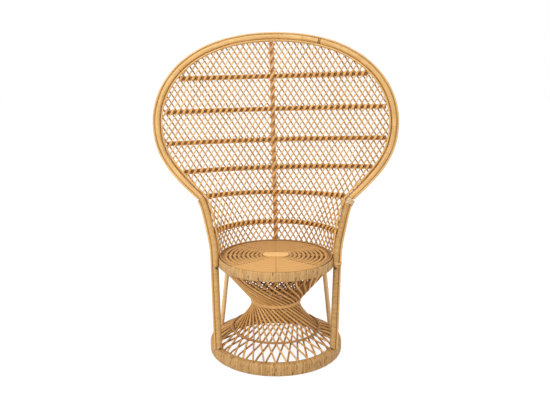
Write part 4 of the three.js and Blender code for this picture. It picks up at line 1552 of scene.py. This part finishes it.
@dataclass
class SeatDeck:
    """The woven round seat: rings of cane that open into gaps beside the two side spokes."""

    centre: Vector
    edge: float = 0.2455
    well: float = 0.2192
    top: float = 0.4278
    thickness: float = 0.008
    lap: float = 0.0013
    lap_depth: float = 0.00078
    band: float = 0.019
    canes_per_band: int = 3
    first_ring: int = 40
    inner: float = 0.056
    cane_relief: float = 0.0008
    gap_depth: float = 0.0055
    gap_width: float = 0.0120
    gap_taper: float = 0.8
    gap_lead: float = 0.004
    crease: float = 0.0022
    # painted shade in the creases between bands
    crease_shade: float = 0.45
    crease_core: float = 0.3  # share of its width that is fully dark, as in the next two cores
    hole_core: float = 0.5
    seam_core: float = 0.4
    spoke: float = 0.0045
    opening: float = math.radians(48)
    seam_slope: float = 1.28
    seam_start: float = 0.025
    hole: Plan = (0.0036, 0.0076)
    hole_step: float = 0.0142
    first_hole: int = 2
    middle_seam: float = 0.0014
    # painted shade in the middle seam
    middle_seam_shade: float = 0.35
    border: float = 0.0105
    border_width: float = 0.0040
    # painted shade in the border line's groove
    border_shade: float = 0.95
    bead: float = 0.0045
    bead_rise: float = 0.0040
    # painted shade over the rear sector, fading in behind the middle, and over the side sectors
    rear_shade: float = 0.22
    rear_fade: float = 0.05
    side_shade: float = 0.12
    columns: int = 300
    rows: int = 190
    smooth_angle: float = math.radians(80)
    plate: Plan = (0.056, 0.027)
    plate_square: float = 4.0
    plate_corners: int = 48
    plate_sink: float = 0.001
    plate_rise: float = 0.0022
    plate_insets: tuple[Plan, ...] = ((0.0016, 0.0006), (0.003, 0.0004))
    plate_strip: float = 0.006

    def build(self) -> None:
        """Model and dress the deck and the plate in its middle."""
        floor, lap = self.top - self.thickness, self.top - self.lap
        step = self.edge / self.rows
        profile = [(0.0, floor), (self.well, floor), (self.well, lap), (self.edge, lap)]
        profile += [((self.rows - i) * step, self.top) for i in range(self.rows + 1)]
        piece = turned("woven_deck", profile, self.columns, self.centre)
        self._weave(piece.data)
        select_only(piece)
        bpy.ops.object.shade_smooth_by_angle(angle=self.smooth_angle)
        dress(piece, [DECK_WEAVE], "rattan", "seat_deck")
        self._plate()

    def _weave(self, mesh: bpy.types.Mesh) -> None:
        """Raise the canes, sink the gaps, store the weave's painted shade and lay the map round the rings.
        """
        # the hole attribute holds the weave's painted shade
        holes = mesh.attributes.new("hole", "FLOAT", "POINT")
        seam_holes = self._seam_holes()
        for vertex in mesh.vertices:
            away = vertex.co - self.centre
            if away.z > self.top - MERGE:
                lift, hole = self._relief(away.x, away.y, seam_holes)
                vertex.co.z += lift
                holes.data[vertex.index].value = hole
        layer = chart(mesh)
        cane = self.band / self.canes_per_band
        for face in mesh.polygons:
            middle = face.center - self.centre
            ring = math.floor((math.hypot(middle.x, middle.y) - self.inner) / cane)
            for loop, index in zip(face.loop_indices, face.vertices):
                away = mesh.vertices[index].co - self.centre
                radius = math.hypot(away.x, away.y)
                share = min(1 - LANE_EDGE, max(LANE_EDGE, (radius - self.inner) / cane - ring))
                layer.data[loop].uv = (radius * half_turn(away, middle), ring + self.first_ring + share)

    def _seam_holes(self) -> list[Plan]:
        """Find the holes along a slanted seam."""
        slope = self.seam_slope
        found = []
        for k in range(self.first_hole, math.floor((self.edge - self.inner) / self.hole_step)):
            radius = self.inner + k * self.hole_step
            square, linear = 1 + slope ** 2, slope ** 2 * self.seam_start
            rest = (slope * self.seam_start) ** 2 - radius ** 2
            y = (linear + math.sqrt(linear ** 2 - square * rest)) / square
            found.append((slope * (y - self.seam_start), y))
        return found

    def _relief(self, x: float, y: float, seam_holes: list[Plan]) -> tuple[float, float]:
        """Find the lift and the painted shade of the weave at a place.

        Args:
            x: distance to the right of the middle.
            y: distance behind the middle.
            seam_holes: places of the holes along a seam.

        Returns:
            The lift, and the painted shade of the gaps, holes, creases and border line and of the rear and
            side sectors.
        """
        radius = math.hypot(x, y)
        share = (radius - self.inner) / self.band
        off = abs(share - round(share)) * self.band
        ridge = math.cos(TAU * (share * self.canes_per_band - 0.5))
        shade = hole = 0.0
        if abs(x) > self.seam_slope * (abs(y) - self.seam_start):
            shade = self.side_shade
            if radius > self.inner - self.gap_lead:
                hole = self._gap(math.atan2(abs(y), abs(x)), radius, off)
        else:
            shade = self.rear_shade * eased(y, 0.0, self.rear_fade)
            hole = self.middle_seam_shade * eased(abs(x), self.middle_seam, self.middle_seam * self.seam_core)
        for spot_x, spot_y in seam_holes:
            far = math.hypot((abs(x) - spot_x) / self.hole[0], (abs(y) - spot_y) / self.hole[1])
            hole = max(hole, eased(far, 1.0, self.hole_core))
        off_border = abs(radius - self.edge + self.border)
        rim = eased(off_border, self.border_width, self.border_width * self.seam_core)
        hole = max(hole, rim * self.border_shade)
        deep = self.gap_depth if radius < self.well - self.band / 4 else self.lap_depth
        off_bead = (radius - self.edge + self.bead) / self.bead
        bead = self.bead_rise * math.sqrt(max(0.0, 1 - off_bead ** 2))
        return self.cane_relief * (ridge - 1) / 2 - deep * hole + bead, max(hole, shade)

    def _gap(self, fold: float, radius: float, off: float) -> float:
        """Find how far the bands of a side sector stand open.

        Args:
            fold: angle from the side spoke.
            radius: distance from the middle.
            off: distance from the line between two bands.

        Returns:
            The share of a gap, with the crease lines, which sinks them and paints their shade.
        """
        start = self.spoke / radius
        crease = self.crease_shade * eased(off, self.crease, self.crease * self.crease_core)
        if not start < fold < self.opening:
            return crease
        wide = self.gap_width / 2 * (1 - (fold - start) / (self.opening - start)) ** self.gap_taper
        return max(crease, eased(off, wide, wide * self.hole_core))

    def _plate(self) -> None:
        """Model the raised oblong of peel in the middle of the seat."""
        bpy.ops.object.select_all(action="DESELECT")
        bpy.ops.mesh.primitive_circle_add(vertices=self.plate_corners, radius=1.0, fill_type="NGON")
        piece = added("centre_plate")
        half, deep = self.plate
        low, power = self.top - self.plate_sink, self.plate_square
        for vertex in piece.data.vertices:
            x, y = vertex.co.x, vertex.co.y
            bulge = (abs(x) ** power + abs(y) ** power) ** (-1 / power)
            vertex.co = self.centre + Vector((x * bulge * half, y * bulge * deep, low))
        rise = UP * (self.plate_rise + self.plate_sink)
        with editing():
            bpy.ops.mesh.extrude_region_move(TRANSFORM_OT_translate={"value": rise})
            for thickness, depth in self.plate_insets:
                bpy.ops.mesh.inset(thickness=thickness, depth=depth)
        layer = chart(piece.data)
        for loop in piece.data.loops:
            away = piece.data.vertices[loop.vertex_index].co - self.centre
            layer.data[loop.index].uv = (away.x, away.y / self.plate_strip)
        dress(closed_up(piece), [PLATE_PEEL], "rattan")


@dataclass
class Pedestal:
    """The hourglass of two families of canes with its binding and hoops."""

    centre: Vector
    canes: int = 36
    groups: int = 6
    cane: float = 0.008
    cane_uneven: Plan = (0.95, 1.04)
    bend_passes: int = 2
    family_number: int = 50
    outer: tuple[Plan, ...] = ((0.2290, 0.380), (0.1007, 0.227), (0.1858, 0.0961), (0.2607, 0.0573))
    inner: tuple[Plan, ...] = ((0.2150, 0.384), (0.0924, 0.227), (0.1802, 0.0899), (0.2497, 0.0507))
    outer_tuck: Plan = (0.268, 0.047)
    inner_tuck: Plan = (0.2545, 0.040)
    cone_steps: int = 8
    cone_turn: float = math.radians(62)
    cone_bend: float = 1.75
    foot_turn: float = 0.9
    tuck_turn: float = 0.96
    waist_z: float = 0.227
    band_height: float = 0.014
    band_inner: float = 0.1066
    band_wall: float = 0.004
    band_turns: int = 3
    band_columns: int = 96
    band_lip: float = 0.5  # share of the wall at the band's two edges
    turn_section: tuple[Plan, ...] = ((0.12, 0.72), (0.3, 0.97), (0.7, 0.97), (0.88, 0.72))
    hoop: float = 0.010
    hoop_radius: float = 0.192
    hoop_z: float = 0.103
    hoop_points: int = 120
    hoop_number: int = 5
    step: float = 0.010

    def build(self) -> None:
        """Model and dress the pedestal."""
        share = self.canes // self.groups
        # the inner family takes the darker cane, painted as shade between the outer canes
        for family, knots, tuck, turn, finish in (
                ("outer", self.outer, self.outer_tuck, 1, OUTER_CANE),
                ("inner", self.inner, self.inner_tuck, -1, SHADED_INNER_CANE)):
            for k in range(self.groups):
                first = k * share
                strands = [self._cane(knots, tuck, turn, first + i) for i in range(share)]
                piece = swept(f"{family}_pedestal_canes_{k + 1}", strands)
                dress(piece, [finish], "rattan", f"pedestal_{family}_canes_{k + 1}")
        self._binding()
        self._hoop()

    def _cane(self, knots: tuple[Plan, ...], tuck: Plan, turn: int, number: int) -> Strand:
        """Run one cane from the seat to the base.

        Args:
            knots: radius and height at the seat, the waist, the skirt hoop and the base.
            tuck: radius and height of its end in the base wrapping.
            turn: 1 where it goes round to the right on its way down in front, -1 to the left.
            number: its number in the family.

        Returns:
            The strand.
        """
        pitch = TAU / self.canes
        top, waist, skirt, foot = knots
        at_waist = math.acos(waist[0] / skirt[0])
        stops = []
        for i in range(self.cone_steps):
            share = i / self.cone_steps
            left_to_turn = self.cone_turn * (1 - share ** self.cone_bend)
            stops.append((Vector(top).lerp(Vector(waist), share), -at_waist - left_to_turn))
        stops += [(waist, -at_waist), (skirt, 0.0)]
        stops += [(foot, pitch * self.foot_turn), (tuck, pitch * self.tuck_turn)]
        corners = [polar(self.centre, r, turn * angle + number * pitch, z) for (r, z), angle in stops]
        points = softened(spaced(corners, self.step), self.bend_passes)
        draw = random.Random(number * 3 + turn)
        radius = self.cane / 2 * draw.uniform(*self.cane_uneven)
        return Strand(points, [radius] * len(points), number + self.family_number * (turn + 1))

    def _binding(self) -> None:
        """Model the binding at the waist as turns of peel one above the other."""
        turn = self.band_height / self.band_turns
        low = self.waist_z - self.band_height / 2
        lip = self.band_inner + self.band_wall * self.band_lip
        profile = [(self.band_inner, low), (lip, low)]
        for k in range(self.band_turns):
            for share, out in self.turn_section:
                profile.append((self.band_inner + self.band_wall * out, low + (k + share) * turn))
        high = low + self.band_height
        profile += [(lip, high), (self.band_inner, high)]
        piece = turned("waist_binding_turns", profile + profile[:1], self.band_columns, self.centre)
        layer = chart(piece.data)
        for face in piece.data.polygons:
            middle = face.center - self.centre
            number = min(self.band_turns - 1, max(0, math.floor((middle.z - low) / turn)))
            for loop, index in zip(face.loop_indices, face.vertices):
                away = piece.data.vertices[index].co - self.centre
                layer.data[loop].uv = (self.band_inner * half_turn(away, middle), number + 0.5)
        dress(piece, [BINDING_PEEL], "peel_wrap", "waist_binding")

    def _hoop(self) -> None:
        """Model the hoop round the skirt, in a darker finish painted as the shade on its front and below
        it.
        """
        angles = [TAU * i / self.hoop_points for i in range(self.hoop_points)]
        points = [polar(self.centre, self.hoop_radius, angle, self.hoop_z) for angle in angles]
        strand = Strand(points, [self.hoop / 2] * self.hoop_points, self.hoop_number, closed=True)
        dress(swept("skirt_hoop_cane", [strand]), [SHADED_SKIRT_HOOP], "rattan", "skirt_hoop")


# Studio


@dataclass(frozen=True)
class Lamp:
    """A soft square lamp."""

    name: str
    at: tuple[float, float, float]
    size: float
    power: float

    def hang(self, target: Vector) -> None:
        """Hang the lamp so that it faces a point."""
        data = bpy.data.lights.new(f"{self.name}_lamp", "AREA")
        data.size = self.size
        data.energy = self.power
        lamp = bpy.data.objects.new(f"{self.name}_lamp", data)
        lamp.location = self.at
        lamp.rotation_euler = (target - lamp.location).to_track_quat("-Z", "Y").to_euler()
        bpy.context.scene.collection.objects.link(lamp)


@dataclass
class Studio:
    """The camera of the photograph, a pale floor and soft light from the upper left."""

    middle: Vector
    camera_at: tuple[float, float, float] = (-0.004, -2.53, 1.176)
    pitch: float = math.radians(11.9)
    focal_pixels: float = 606.0
    image_width: float = 550.0
    sensor: float = 36.0
    floor_size: float = 60.0
    floor_shadow: float = 0.3
    floor_glow: float = 1.24
    floor_paint: Colour = (0.86, 0.86, 0.86, 1.0)
    white: Colour = (1.0, 1.0, 1.0, 1.0)
    room_light: float = 0.55
    lamp_target_z: float = 0.7
    lamps: tuple[Lamp, ...] = (
        Lamp("key", (-2.2, -2.6, 3.2), 2.6, 95.0),
        Lamp("fill", (2.8, -2.2, 1.8), 3.0, 18.0),
        Lamp("top", (0.0, 0.6, 3.6), 3.0, 35.0),
    )

    def build(self) -> None:
        """Set up the studio."""
        self._camera()
        self._floor()
        self._world()
        for lamp in self.lamps:
            lamp.hang(UP * self.lamp_target_z)
        bpy.context.scene.view_settings.view_transform = "Standard"

    def _camera(self) -> None:
        """Place the camera."""
        data = bpy.data.cameras.new("photo_camera")
        data.sensor_width = self.sensor
        data.sensor_fit = "HORIZONTAL"
        data.lens = self.focal_pixels / self.image_width * self.sensor
        camera = bpy.data.objects.new("photo_camera", data)
        camera.location = Vector(self.camera_at) + Vector((self.middle.x, self.middle.y, 0.0))
        camera.rotation_euler = (TAU / 4 - self.pitch, 0.0, 0.0)
        bpy.context.scene.collection.objects.link(camera)
        bpy.context.scene.camera = camera

    def _floor(self) -> None:
        """Lay a white floor that keeps a faint shadow."""
        bpy.ops.object.select_all(action="DESELECT")
        bpy.ops.mesh.primitive_plane_add(size=self.floor_size)
        floor = bpy.context.object
        floor.name = "studio_floor"
        material = bpy.data.materials.new("studio_white")
        recipe = Recipe(material)
        paint = recipe.add("ShaderNodeBsdfDiffuse", {}, {"Color": self.floor_paint})
        glow = recipe.add("ShaderNodeEmission", {}, {"Color": self.white, "Strength": self.floor_glow})
        share = recipe.seen() * (1 - self.floor_shadow)
        recipe.close(recipe.add("ShaderNodeMixShader", {}, {0: share, 1: paint, 2: glow}))
        floor.data.materials.append(material)

    def _world(self) -> None:
        """Light the room evenly, white where the camera looks past the chair."""
        world = bpy.data.worlds.new("studio_room")
        bpy.context.scene.world = world
        room = Recipe(world)
        strength = self.room_light + room.seen() * (1 - self.room_light)
        glow = room.add("ShaderNodeBackground", {}, {"Color": self.white, "Strength": strength})
        room.close(glow, "ShaderNodeOutputWorld")


def dress_inner_poles() -> None:
    """Give the poles and bars that stay as solids a bare rattan skin."""
    for name in ("base_pole_lower", "base_pole_upper", "seat_pole_upper", "seat_pole_lower",
                 "seat_bar_cross", "seat_bar_long", "waist_hoop"):
        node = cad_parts[name]
        node.data.materials.clear()
        node.data.materials.append(BARE_POLE.material())
        LOG.info("%s: solid kept with a bare pole skin", name)


def main() -> None:
    """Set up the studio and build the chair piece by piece."""
    logging.basicConfig(level=logging.INFO, format="%(name)s: %(message)s")
    low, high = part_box("base_wrap")
    centre = Vector(((low.x + high.x) / 2, (low.y + high.y) / 2, 0.0))
    edge = BackEdge(BackSheet(centre))
    Studio(centre).build()
    WrappedRing("base_ring_strips", "base_wrap", BASE_PEEL, centre, outer=0.290, width=0.036,
                low=0.0, high=0.053, corner=0.011, seed=1).build()
    WrappedRing("seat_ring_strips", "seat_wrap", SEAT_PEEL, centre, outer=0.250, width=0.030,
                low=0.384, high=0.426, corner=0.007, seed=2, ragged=0.0022).build()
    SeatDeck(centre).build()
    Pedestal(centre).build()
    legs = Legs(edge)
    legs.build()
    Joinery(legs).build()
    Rim(edge).build()
    Lattice(edge).build()
    dress_inner_poles()


if __name__ == "__main__":
    main()
